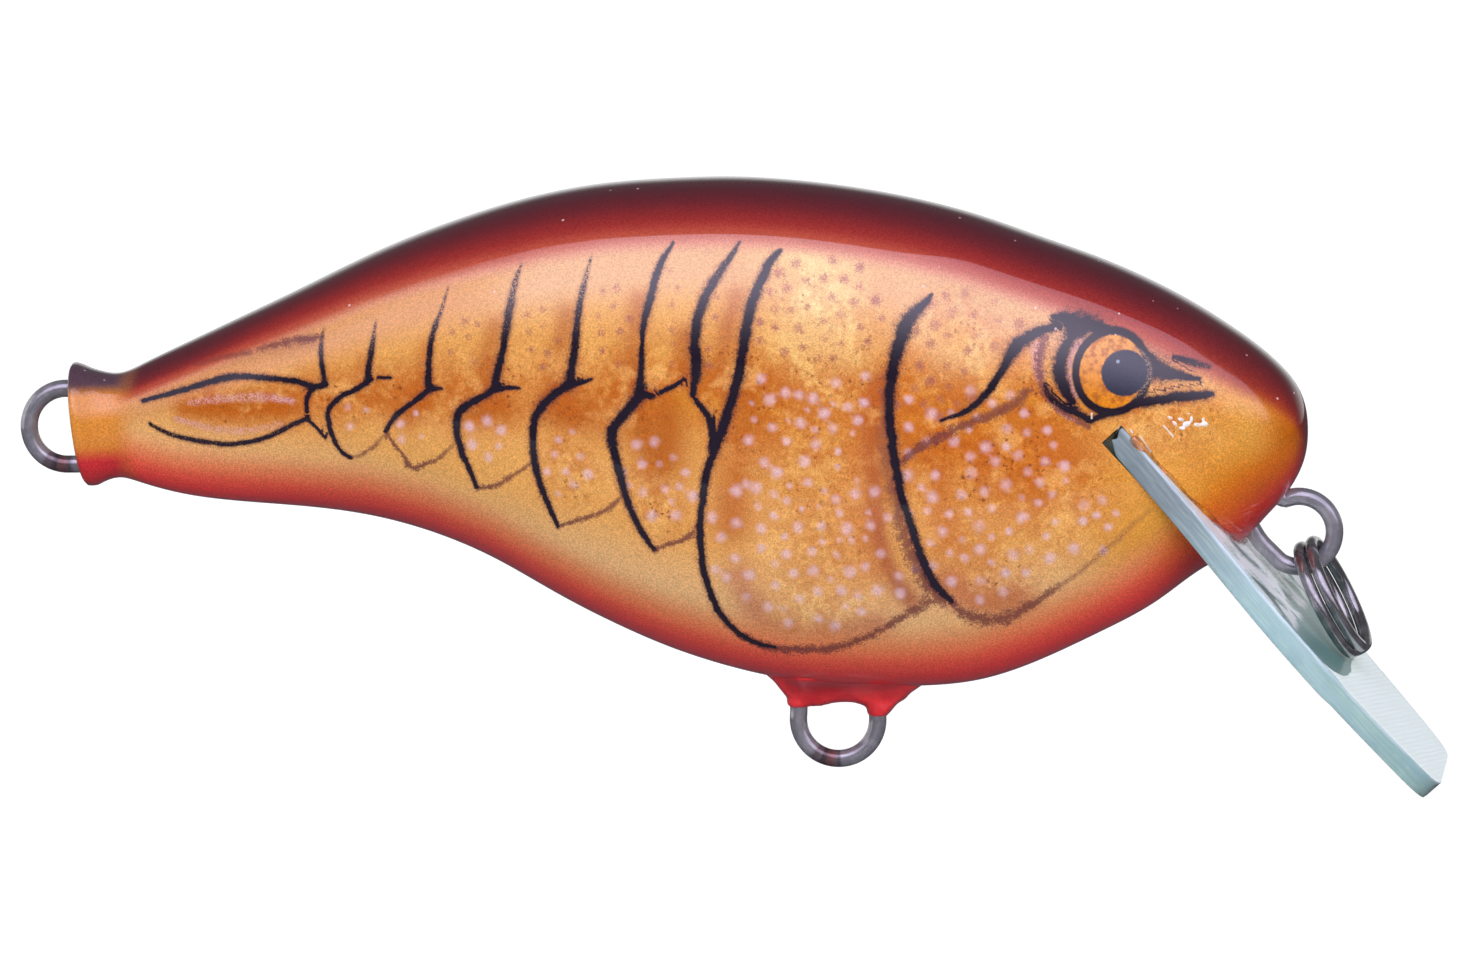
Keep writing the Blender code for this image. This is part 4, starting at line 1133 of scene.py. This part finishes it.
def scatter(traced, fields, seed, size):
    """Spots as strokes: the traced ones, then an even random fill of each area."""
    rng = random.Random(seed)
    spots = [(x, z, rng.uniform(*size), rng.uniform(0.75, 1.0)) for x, z in traced]
    for centre_x, centre_z, radius_x, radius_z, count, small, large in fields:
        placed = 0
        for _ in range(count * 12):
            angle, out = rng.uniform(0, 2 * math.pi), math.sqrt(rng.random())
            x = centre_x + radius_x * out * math.cos(angle)
            z = centre_z + radius_z * out * math.sin(angle)
            r = rng.uniform(small, large) * 1.15
            if all((x - u) ** 2 + (z - v) ** 2 > (0.40 + 1.6 * r) ** 2
                   for u, v, _, _ in spots):
                spots.append((x, z, r, rng.uniform(0.5, 1.0)))
                placed += 1
            if placed == count:
                break
    return [(most, most, ((x, z, r),)) for x, z, r, most in spots]


def paint_attributes(mesh):
    points = places(mesh)[:, [0, 2]]
    x, z = points.T
    _, top, bottom, *_ = section_at(x)
    # depths count for less where the body is slim
    size = np.interp(x, (-31.5, -28, -20, -10, 22, 25, 27.6),
                     (0.40, 0.55, 0.72, 1.0, 1.0, 0.80, 0.55))
    from_top = (top - z) / size
    from_low = (z - bottom) / size
    set_attr(mesh, "base", opaque(base_colours(points, bottom, from_top)))
    set_attr(mesh, "mottle", mottle_amount(points, from_top, from_low))
    set_attr(mesh, "back", smooth(4.6, 3.4, from_top))
    set_attr(mesh, "pearl", smooth(2.6, 4.4, from_top) * smooth(1.2, 3.0, from_low))
    for name, strokes in (
            ("ink", INK), ("brown", BROWN), ("pale", PALE),
            ("spot", scatter(SPOTS, SPOT_FIELDS, seed=11, size=(0.21, 0.28))),
            ("dim", scatter(DIM_SPOTS, DIM_FIELDS, seed=12, size=(0.16, 0.22)))):
        offsets, strength = nearest_stroke(points, strokes)
        set_attr(mesh, name + "_q", offsets)
        set_attr(mesh, name + "_s", strength)


# ----------------------------------------------------------------------- wires
def arc(eye, start, stop):
    """Points x, z round an eye, about 4 degrees apart."""
    x, z, radius = eye
    count = max(2, round(abs(stop - start) / 4))
    angles = [math.radians(start + (stop - start) * i / count) for i in range(count + 1)]
    return [(x + radius * math.cos(a), z + radius * math.sin(a)) for a in angles]


def hanger_path():
    """One wire from the nose round the line tie, belly eye and tail eye."""
    nose_tail = [(24.92, 1.63), (25.05, 0.80), (25.46, 0.05), (26.10, -0.52),
                 (26.72, -0.82)]
    over_lip = [(26.30, -3.50), (25.68, -2.82), (24.85, -1.42), (23.80, -0.28),
                (22.50, 1.20), (21.24, 2.70), (20.40, 3.90), (18.96, 4.50),
                (16.05, 3.72), (13.15, 2.41), (10.24, 0.47), (8.54, -2.44),
                (7.82, -5.35), (7.43, -8.25)]
    leg_z = -10.6
    belly = [(BELLY_EYE[0] + BELLY_EYE[2], leg_z), *arc(BELLY_EYE, 0, -180),
             (BELLY_EYE[0] - BELLY_EYE[2], leg_z)]
    to_tail = [(2.97, -8.25), (1.76, -5.83), (-1.39, -3.16), (-8.18, -0.50),
               (-15.93, 1.44), (-23.2, 2.31), (-27.56, 2.30), (-29.30, 1.85),
               (-30.47, 1.20), (-31.25, 0.82)]
    tucked = [(-31.25, 4.42), (-30.30, 4.10), (-29.50, 3.66)]
    path = catmull(nose_tail + arc(LINE_TIE, 112, -122) + over_lip + belly + to_tail
                   + arc(TAIL_EYE, -90, -270) + tucked, 0.22)
    keep = [path[0]]
    for point in path[1:]:
        if np.linalg.norm(point - keep[-1]) > 0.05:
            keep.append(point)
    path = np.array(keep)
    return np.column_stack((path[:, 0], np.zeros(len(path)), path[:, 1]))


def hanger_tint(points):
    """Darker, pinkish and reddish bands across the wire on the tail and belly eyes."""
    # first and last angle past the eye's start, tint, amount
    bands = ((-4, 5, (0.45, 0.30, 0.32), 0.8), (8, 15, (0.20, 0.12, 0.13), 0.9),
             (17, 28, (0.62, 0.26, 0.24), 0.9), (31, 35, (0.22, 0.16, 0.18), 0.8))
    tint = np.ones((len(points), 3))
    for (eye_x, eye_z, _), start in ((TAIL_EYE, -118.0), (BELLY_EYE, -122.0)):
        dx, dz = points[:, 0] - eye_x, points[:, 2] - eye_z
        angle = np.degrees(np.arctan2(dz, dx)) - start
        near = np.hypot(dx, dz) < 2.6
        for first, last, colour, amount in bands:
            mask = smooth(first - 4, first + 1, angle) * smooth(last + 4, last - 1, angle)
            mask = mask * near * amount
            tint += (np.array(colour) - tint) * mask[:, None]
    return tint


def ring_path():
    """Nearly two turns side by side, with a short crossing between them."""
    mean_r = RING_OD / 2 - RING_WIRE_R
    hang = Vector((math.cos(RING_DIR), 0, math.sin(RING_DIR)))
    axial = Vector((-math.sin(RING_DIR), 0, math.cos(RING_DIR)))
    across = Vector((0, 1, 0)) * math.cos(RING_TWIST) + axial * math.sin(RING_TWIST)
    axis = across.cross(hang) * -1
    centre = Vector((LINE_TIE[0], 0, LINE_TIE[1])) + hang * RING_HANG
    points = []
    for degrees in range(12, 701, 3):
        u = min(max((degrees - 340) / 32, 0), 1)
        side = RING_PITCH * (u * u * (3 - 2 * u) - 0.5)
        a = math.radians(degrees)
        points.append(tuple(centre + hang * (mean_r * math.cos(a))
                            + across * (mean_r * math.sin(a)) + axis * side))
    return points


def build_hanger():
    steel = wire_material("bright_wire", lin(142, 142, 147), lin(164, 163, 168),
                          metal=0.55)
    obj = mesh_object("hanger_wire", *sweep(hanger_path(), WIRE_R, sides=20),
                      (steel,), "lure")
    set_attr(obj.data, "tint", opaque(hanger_tint(places(obj.data) / MM)))
    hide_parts("through_wire")


def build_ring():
    steel = wire_material("ring_wire", lin(138, 137, 138), lin(170, 169, 170),
                          metal=0.85)
    obj = mesh_object("ring_coils", *sweep(ring_path(), RING_WIRE_R, sides=18),
                      (steel,), "ring")
    set_attr(obj.data, "tint", np.ones((len(obj.data.vertices), 4)))
    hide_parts("split_ring")


# ------------------------------------------------------------------------- bill
BEVEL = 0.07
FACE_COLS, SIDE_ROWS = 26, 6       # divisions across a face and down a side


def bill_loop(s, half, inset):
    """One closed loop round the board, at a distance s from the bill's origin."""
    film = LIP_COAT * float(smooth(LIP_BARE_FROM + 0.10, LIP_BARE_FROM - 0.95, s))
    high, low = film - inset, -LIP_THICK - film + inset
    # the inner end has a long chamfer on its under side
    low += 0.34 * float(smooth(0.95, 0.0, s - BOARD_FROM))
    w = half - inset
    flat = [-w + BEVEL + (2 * (w - BEVEL)) * i / FACE_COLS for i in range(FACE_COLS + 1)]
    fall = low - high + 2 * BEVEL
    down = [fall * i / SIDE_ROWS for i in range(1, SIDE_ROWS + 1)]
    nick = BEVEL * 0.3
    loop = [(v, high) for v in flat]
    loop += [(w - nick, high - nick), (w, high - BEVEL)]
    loop += [(w, high - BEVEL + part) for part in down]
    loop += [(w - nick, low + nick)]
    loop += [(-v, low) for v in flat]
    loop += [(-w + nick, low + nick), (-w, low + BEVEL)]
    loop += [(-w, low + BEVEL - part) for part in down]
    loop += [(-w + nick, high - nick)]
    return [(s, v, above) for v, above in loop]


def build_bill(face, edge):
    outline = catmull(LIP_HALF_OUTLINE, 0.35)
    # extra loops where the coat thins out to the bare board
    extra = np.linspace(LIP_BARE_FROM - 0.95, LIP_BARE_FROM + 0.10, 8)
    stations = sorted({(round(float(s), 3), round(float(v), 3)) for s, v in outline}
                      | {(round(float(s), 3), round(float(np.interp(
                          s, outline[:, 0], outline[:, 1])), 3)) for s in extra})
    stations = [stations[0]] + [b for a, b in zip(stations, stations[1:])
                                if b[0] - a[0] > 0.012]
    start, start_half = stations[0]
    end, end_half = stations[-1]
    rows = [bill_loop(start, start_half, BEVEL),
            bill_loop(start + BEVEL * 0.3, start_half, BEVEL * 0.3)]
    rows += [bill_loop(s, v, 0.0) for s, v in stations[1:] if s > start + BEVEL]
    rows += [bill_loop(end + 0.02, end_half - 0.05, BEVEL * 0.3),
             bill_loop(end + 0.04, end_half - 0.12, BEVEL)]
    # a notch across the inner end, half way through the thickness
    verts = []
    for row in rows:
        for s, v, above in row:
            near_end = float(smooth(0.85, 0.0, s - BOARD_FROM))
            dip = max(0.0, 1.0 - abs(above + 0.52) / 0.34)
            verts.append((s + 0.26 * dip * near_end, v, above))
    size = len(rows[0])
    under_from = FACE_COLS + SIDE_ROWS + 4
    faces, mats = [], []
    for i in range(len(rows) - 1):
        for j in range(size):
            k = (j + 1) % size
            faces.append((i * size + j, i * size + k,
                          (i + 1) * size + k, (i + 1) * size + j))
            on_face = j < FACE_COLS or under_from <= j < under_from + FACE_COLS
            mats.append(0 if on_face else 1)
    faces.append(tuple(reversed(range(size))))
    faces.append(tuple((len(rows) - 1) * size + j for j in range(size)))
    mats += [1, 1]
    place = (Matrix.Translation((LIP_INNER[0] * MM, 0.0, LIP_INNER[1] * MM))
             @ Matrix.Rotation(LIP_SLOPE, 4, "Y"))
    obj = mesh_object("bill_board", verts, faces, (face, edge), "lure",
                      face_mats=mats, matrix=place)
    obj.data.shade_smooth()
    obj.data.set_sharp_from_angle(angle=math.radians(32))
    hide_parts("lip")


# ------------------------------------------------------- lumps of resin and lacquer
def blob(name, parts, mat, voxel, relax, lumps=0.0):
    """Several closed shapes melted into one smooth lump. Parts are in mm."""
    verts, faces = [], []
    for part_verts, part_faces in parts:
        base = len(verts)
        verts.extend(tuple(v) for v in part_verts)
        faces.extend(tuple(base + i for i in face) for face in part_faces)
    raw = add_object(name + "_raw", raw_mesh(name + "_raw", verts, faces))
    melt = raw.modifiers.new("melt", "REMESH")
    melt.mode = "VOXEL"
    melt.voxel_size = voxel
    soften = raw.modifiers.new("relax", "SMOOTH")
    soften.iterations = relax
    soften.factor = 0.5
    graph = bpy.context.evaluated_depsgraph_get()
    mesh = bpy.data.meshes.new_from_object(raw.evaluated_get(graph))
    bpy.data.objects.remove(raw, do_unlink=True)
    if lumps:
        rng = np.random.default_rng(5)
        co = places(mesh)
        normals = np.zeros(len(co) * 3)
        mesh.vertex_normals.foreach_get("vector", normals)
        waves = rng.normal(size=(7, 3)) * 1.6
        phase = rng.uniform(0, 6.28, 7)
        height = np.sin(co @ waves.T + phase).mean(axis=1)
        co = co + normals.reshape(-1, 3) * (height * lumps)[:, None]
        mesh.vertices.foreach_set("co", co.ravel())
    mesh.name = name
    mesh.materials.clear()
    mesh.materials.append(mat)
    mesh.transform(Matrix.Scale(MM, 4))
    mesh.shade_smooth()
    obj = add_object(name, mesh)
    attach(obj, "lure")
    return obj


def ball(centre, radii, tilt):
    bm = bmesh.new()
    bmesh.ops.create_uvsphere(
        bm, u_segments=32, v_segments=16, radius=1.0,
        matrix=Matrix.Translation(centre) @ Matrix.Rotation(tilt, 4, "Y")
        @ Matrix.Diagonal((*radii, 1.0)))
    verts = [tuple(v.co) for v in bm.verts]
    faces = [tuple(v.index for v in face.verts) for face in bm.faces]
    bm.free()
    return verts, faces


def taper(points, start_radius, end_radius):
    path = catmull(points, 0.15)
    t = np.linspace(0, 1, len(path))
    return sweep(path, start_radius + (end_radius - start_radius) * t, sides=18)


def skirt(profile, top, widths):
    """A run of lacquer hanging from the belly: thin at its lower edge, flaring
    up into the body. Profile gives its lower edge; widths its half thickness."""
    low_x, low_z = zip(*profile)
    wide_x, wide = zip(*widths)
    rows = []
    for x in np.arange(low_x[0], low_x[-1], 0.14):
        low = float(np.interp(x, low_x, low_z))
        half = float(np.interp(x, wide_x, wide))
        loop = []
        for u in np.linspace(0, 1, 13):
            h = u * (top - low)
            round_in = math.sqrt(max(0.0, 1 - max(0.0, 1 - h / 0.45) ** 2))
            rise = max(0.0, low + h + 10.9) / 1.1
            flare = min(0.95 * rise ** 2.0, 1.5) \
                * float(smooth(1.8, 4.0, x) * smooth(10.0, 8.0, x))
            loop.append((half * round_in + flare, low + h))
        side = [(x, -w, z) for w, z in loop] + [(x, w, z) for w, z in loop[::-1]]
        if loop[0][0] == 0:
            side = [(x, 0.0, loop[0][1])] + side[1:-1]
        rows.append(side)
    # Flared rows hold one point more than the first; the faces still step by the
    # first row's count, and the melting in blob() closes the slanted sheet.
    n = len(rows[0])
    faces = []
    for i in range(len(rows) - 1):
        for k in range(n):
            m = (k + 1) % n
            faces.append((i * n + k, i * n + m, (i + 1) * n + m, (i + 1) * n + k))
    faces.append(tuple(reversed(range(n))))
    faces.append(tuple((len(rows) - 1) * n + k for k in range(n)))
    return [point for row in rows for point in row], faces


def build_seal():
    """Lacquer run at the belly hanger."""
    lower_edge = (                   # x, z
        (1.6, -9.3), (2.24, -9.86), (2.5, -10.22), (2.87, -10.66), (3.46, -10.86),
        (4.0, -11.05), (4.5, -11.0), (5.0, -10.86), (5.5, -10.82), (6.1, -10.88),
        (6.65, -11.06), (7.1, -11.34), (7.6, -11.56), (7.9, -11.24), (8.15, -10.92),
        (8.59, -10.66), (8.8, -10.36), (9.17, -10.12), (9.6, -9.86), (10.4, -9.3))
    widths = ((1.6, 0.5), (3.4, 0.62), (4.6, 0.42), (6.2, 0.42), (7.4, 0.64),
              (8.6, 0.5), (10.4, 0.4))           # x, half thickness
    red = red_lacquer_material()
    parts = [
        skirt(lower_edge, -9.0, widths),
        # down the two legs of the wire
        taper([(3.42, 0, -9.8), (3.40, 0, -10.4), (3.38, 0, -10.92)], 0.66, 0.56),
        taper([(7.20, 0, -9.8), (7.22, 0, -10.6), (7.24, 0, -11.35)], 0.72, 0.54),
    ]
    seal = blob("belly_seal_run", parts, red, voxel=0.09, relax=4, lumps=0.05)
    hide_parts("belly_seal")


def epoxy_parts():
    """Pools of clear epoxy on the upper face of the bill."""
    pools = (                        # along, across, above, then the three radii
        (8.4, 0, 0.35, 1.0, 1.5, 0.55), (9.3, -0.3, 0.16, 1.3, 1.9, 0.24),
        (8.0, -2.2, 0.16, 1.5, 1.6, 0.22), (8.0, 2.2, 0.16, 1.5, 1.6, 0.22),
        (10.4, -0.9, 0.10, 0.9, 1.1, 0.16), (7.0, -4.2, 0.12, 1.1, 0.8, 0.20))
    return [ball(lip_point(*pool[:3]), pool[3:], LIP_SLOPE) for pool in pools]


def cheek_parts():
    """An uneven bead where the bill's upper face meets the body."""
    bead = []
    s = 0.3
    while s < 12.0:
        x, _, z = lip_point(s, 0, 0.12)
        half = flank_at(x, z)
        if half <= 0.3:
            break
        bead.append((s, half))
        s += 0.4
    near_side = [lip_point(s, -v + 0.05, 0.06) for s, v in bead]
    far_side = [lip_point(s, v - 0.05, 0.06) for s, v in reversed(bead)]
    loop = catmull(near_side + [lip_point(bead[-1][0] + 0.2, 0, 0.1)] + far_side, 0.25)
    step = np.arange(len(loop))
    wobble = 0.22 + 0.05 * np.sin(step * 0.55) + 0.04 * np.sin(step * 0.23 + 1.0)
    return [sweep(loop, wobble, sides=14)]


def glint_parts():
    """Small ridges of resin on both cheeks, which catch the light."""
    flecks = (                       # x, z, radii in x and z, tilt in degrees
        (21.76, 3.50, 0.17, 0.09, 25), (21.98, 3.22, 0.20, 0.10, 50),
        (22.26, 3.40, 0.20, 0.11, 15), (22.50, 3.16, 0.26, 0.15, -15),
        (22.30, 2.98, 0.20, 0.10, 10), (22.78, 3.40, 0.09, 0.17, 0),
        (23.02, 3.12, 0.26, 0.11, 12), (23.34, 3.14, 0.24, 0.15, 0),
        (23.32, 3.36, 0.10, 0.12, 0), (22.66, 3.66, 0.09, 0.05, 0))
    threads = (                      # x, z of both ends
        ((21.47, 3.13), (21.93, 2.58)), ((20.36, 2.66), (20.88, 1.86)),
        ((18.10, 3.79), (18.10, 3.50)), ((19.9, 2.98), (20.02, 2.80)))

    def on_flank(x, z, proud, side):
        return (x, side * (flank_at(x, z) + proud), z)

    parts = []
    for x, z, radius_x, radius_z, tilt in flecks:
        for side in (-1, 1):
            parts.append(ball(on_flank(x, z, -0.03, side), (radius_x, 0.09, radius_z),
                              math.radians(tilt)))
    for ends in threads:
        for side in (-1, 1):
            first, last = [on_flank(x, z, 0.0, side) for x, z in ends]
            middle = tuple((p + q) / 2 for p, q in zip(first, last))
            parts.append(sweep(catmull([first, middle, last], 0.1), 0.055, sides=10))
    return parts


def build_resin():
    for name, parts, material, voxel, relax, lumps in (
            ("bill_epoxy", epoxy_parts, epoxy_material, 0.07, 3, 0.03),
            ("cheek_resin", cheek_parts, cheek_resin_material, 0.07, 3, 0.03),
            ("cheek_glints", glint_parts, glint_material, 0.035, 1, 0.0)):
        piece = blob(name, parts(), material(), voxel, relax, lumps)
        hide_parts("lip_epoxy")


def dress_core():
    """The inner pieces keep their CAD shape."""
    balsa, lead, filler = balsa_material(), lead_material(), filler_material()
    for node, mat in (("body_core_left", balsa), ("body_core_right", balsa),
                      ("belly_ballast", lead), ("ballast_filler", filler)):
        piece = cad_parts[node]
        piece.data.materials.clear()
        piece.data.materials.append(mat)


build_skin(paint_material(), slot_wall_material())
build_hanger()
build_ring()
build_bill(board_face_material(), board_edge_material())
build_seal()
build_resin()
dress_core()


# -------------------------------------------------------------- studio (metres)
def emitter(name, tint, strength=None):
    """A glowing material; without a strength it reads the level attribute."""
    net = Graph(bpy.data.materials.new(name), empty=True)
    if strength is None:
        strength = net.attr("level")
    glow = net.add("Emission", {"Color": tint, "Strength": strength}, 0)
    net.add("OutputMaterial", {"Surface": glow})
    return net.owner


def side_card():
    """A plain upright card off the tail."""
    x, near, far, low, high = -0.60, -0.30, 0.60, -0.08, 0.40
    mesh = raw_mesh("tail_card", [(x, near, low), (x, far, low), (x, far, high),
                                  (x, near, high)], [(0, 1, 2, 3)])
    mesh.materials.append(emitter("tail_card", (1, 1, 1), strength=1.1))
    obj = add_object("tail_card", mesh)
    obj.visible_camera = False
    obj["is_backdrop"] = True


def softbox_level(across, elevation):
    """Brightness by share across (0 tail end) and by elevation in degrees."""
    rise = smooth(3.0, 32.0, elevation)
    side = smooth(0.0, 0.06, across) * smooth(1.35, 1.15, across)
    side *= 1.0 - 0.35 * smooth(0.60, 0.80, across)
    side *= 1.0 - 0.35 * smooth(0.42, 0.30, across)
    side *= 1.0 - 0.6 * smooth(0.30, 0.12, across)
    return float(2.5 * rise * side)


def softbox():
    """A flat upright light on the camera's side of the lure."""
    away, x0, x1, share_width = 0.6, -0.95, 1.55, 1.85
    z0, z1 = (away * math.tan(math.radians(angle)) for angle in (3.0, 63.5))
    rows, cols = 40, 54
    verts, faces, levels = [], [], []
    for i in range(rows + 1):
        z = z0 + (z1 - z0) * i / rows
        for j in range(cols + 1):
            x = x0 + (x1 - x0) * j / cols
            across = (x - x0) / share_width
            # its upper edge climbs towards the nose side
            lift = 1.0 + 0.55 * float(smooth(0.58, 0.82, across)) * i / rows
            verts.append((x, -away, z * lift))
            levels.append(softbox_level(across, math.degrees(math.atan2(z, away))))
    for i in range(rows):
        for j in range(cols):
            a = i * (cols + 1) + j
            faces.append((a, a + 1, a + cols + 2, a + cols + 1))
    mesh = raw_mesh("front_softbox", verts, faces)
    mesh.materials.append(emitter("front_softbox", (0.97, 0.88, 1.16)))
    obj = add_object("front_softbox", mesh)
    set_attr(mesh, "level", np.array(levels))
    obj.visible_camera = False
    obj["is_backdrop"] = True


def fill_light(name, place, width, height, power):
    """A broad light that shapes the paint but leaves no reflection."""
    data = bpy.data.lights.new(name, "AREA")
    data.shape = "RECTANGLE"
    data.size, data.size_y = width, height
    data.energy = power
    obj = add_object(name, data)
    aim = (-Vector(place)).to_track_quat("-Z", "Y")
    obj.matrix_world = Matrix.Translation(place) @ aim.to_matrix().to_4x4()
    obj.visible_glossy = False


def build_floor():
    """Glows white to the camera, and is clear when seen from underneath."""
    z = -0.11
    mesh = raw_mesh("floor", [(-6, -2, z), (6, -2, z), (6, 9, z), (-6, 9, z)],
                    [(0, 1, 2, 3)])
    net = Graph(bpy.data.materials.new("floor_pale"))
    mesh.materials.append(net.set(
        Base_Color=(0.16, 0.16, 0.17), Roughness=0.7, Specular_IOR_Level=0.1,
        Emission_Color=(1, 1, 1),
        Emission_Strength=net.add("LightPath", {}, "Is Camera Ray")))
    under = net.add("NewGeometry", {}, "Backfacing")
    clear = net.add("BsdfTransparent", {}, 0)
    nodes = net.tree.nodes
    solid = Value(net, nodes["Principled BSDF"].outputs[0])
    net.put(nodes["Material Output"].inputs["Surface"],
            net.add("MixShader", {0: under, 1: solid, 2: clear}, 0))
    add_object("floor", mesh)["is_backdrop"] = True


def build_world():
    """White to the camera; for light, bright behind the lure (+Y) and dim before it."""
    world = bpy.data.worlds.new("studio")
    net = Graph(world, empty=True)
    to_camera = net.add("LightPath", {}, "Is Camera Ray")
    _, y, z = net.split(net.add("TexCoord", {}, "Generated"))
    behind = y.ramp(0.45, 0.95, low=0.0, high=0.80)
    low = z.ramp(0.12, 0.50, low=1.0, high=0.05)
    ambient = 0.09
    both = net.math("MULTIPLY_ADD", behind, low, ambient)
    level = net.math("MAXIMUM", to_camera, both)
    sky = net.add("Background", {"Color": (1, 1, 1), "Strength": level}, 0)
    net.add("OutputWorld", {"Surface": sky})
    bpy.context.scene.world = world


def build_camera():
    """Looks from -Y, a little from the nose side and above."""
    azimuth, elevation, roll = (math.radians(angle) for angle in (6.5, 6.3, 0.7))
    distance, width_at_lure = 0.450, 0.07065
    shift_right, shift_up = 0.00021, -0.00035
    back = Vector((math.sin(azimuth) * math.cos(elevation),
                   -math.cos(azimuth) * math.cos(elevation), math.sin(elevation)))
    right = (-back).cross(Vector((0, 0, 1))).normalized()
    upward = right.cross(-back)
    place = right * shift_right + upward * shift_up + back * distance
    rolled_right = right * math.cos(roll) - upward * math.sin(roll)
    rolled_up = right * math.sin(roll) + upward * math.cos(roll)
    data = bpy.data.cameras.new("camera")
    data.sensor_width = 36
    data.sensor_fit = "HORIZONTAL"
    data.lens = 36 * distance / width_at_lure
    data.clip_start = 0.01
    camera = add_object("camera", data)
    turn = Matrix((rolled_right, rolled_up, back)).transposed().to_4x4()
    camera.matrix_world = Matrix.Translation(place) @ turn
    bpy.context.scene.camera = camera


side_card()
softbox()
fill_light("front_fill", (0.05, -0.60, 0.0), width=0.7, height=0.5, power=5.7)
fill_light("low_fill", (0.03, -0.40, -0.42), width=0.8, height=0.4, power=6.2)
build_floor()
build_world()
bpy.context.scene.view_settings.view_transform = "Standard"
bpy.context.scene.view_settings.look = "None"
build_camera()


def plain(value):
    if hasattr(value, "items"):
        return {k: plain(v) for k, v in value.items()}
    if hasattr(value, "__len__"):
        return [plain(v) for v in value]
    return float(value)


{"cad": plain(cad_box), "visual": plain(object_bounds())}
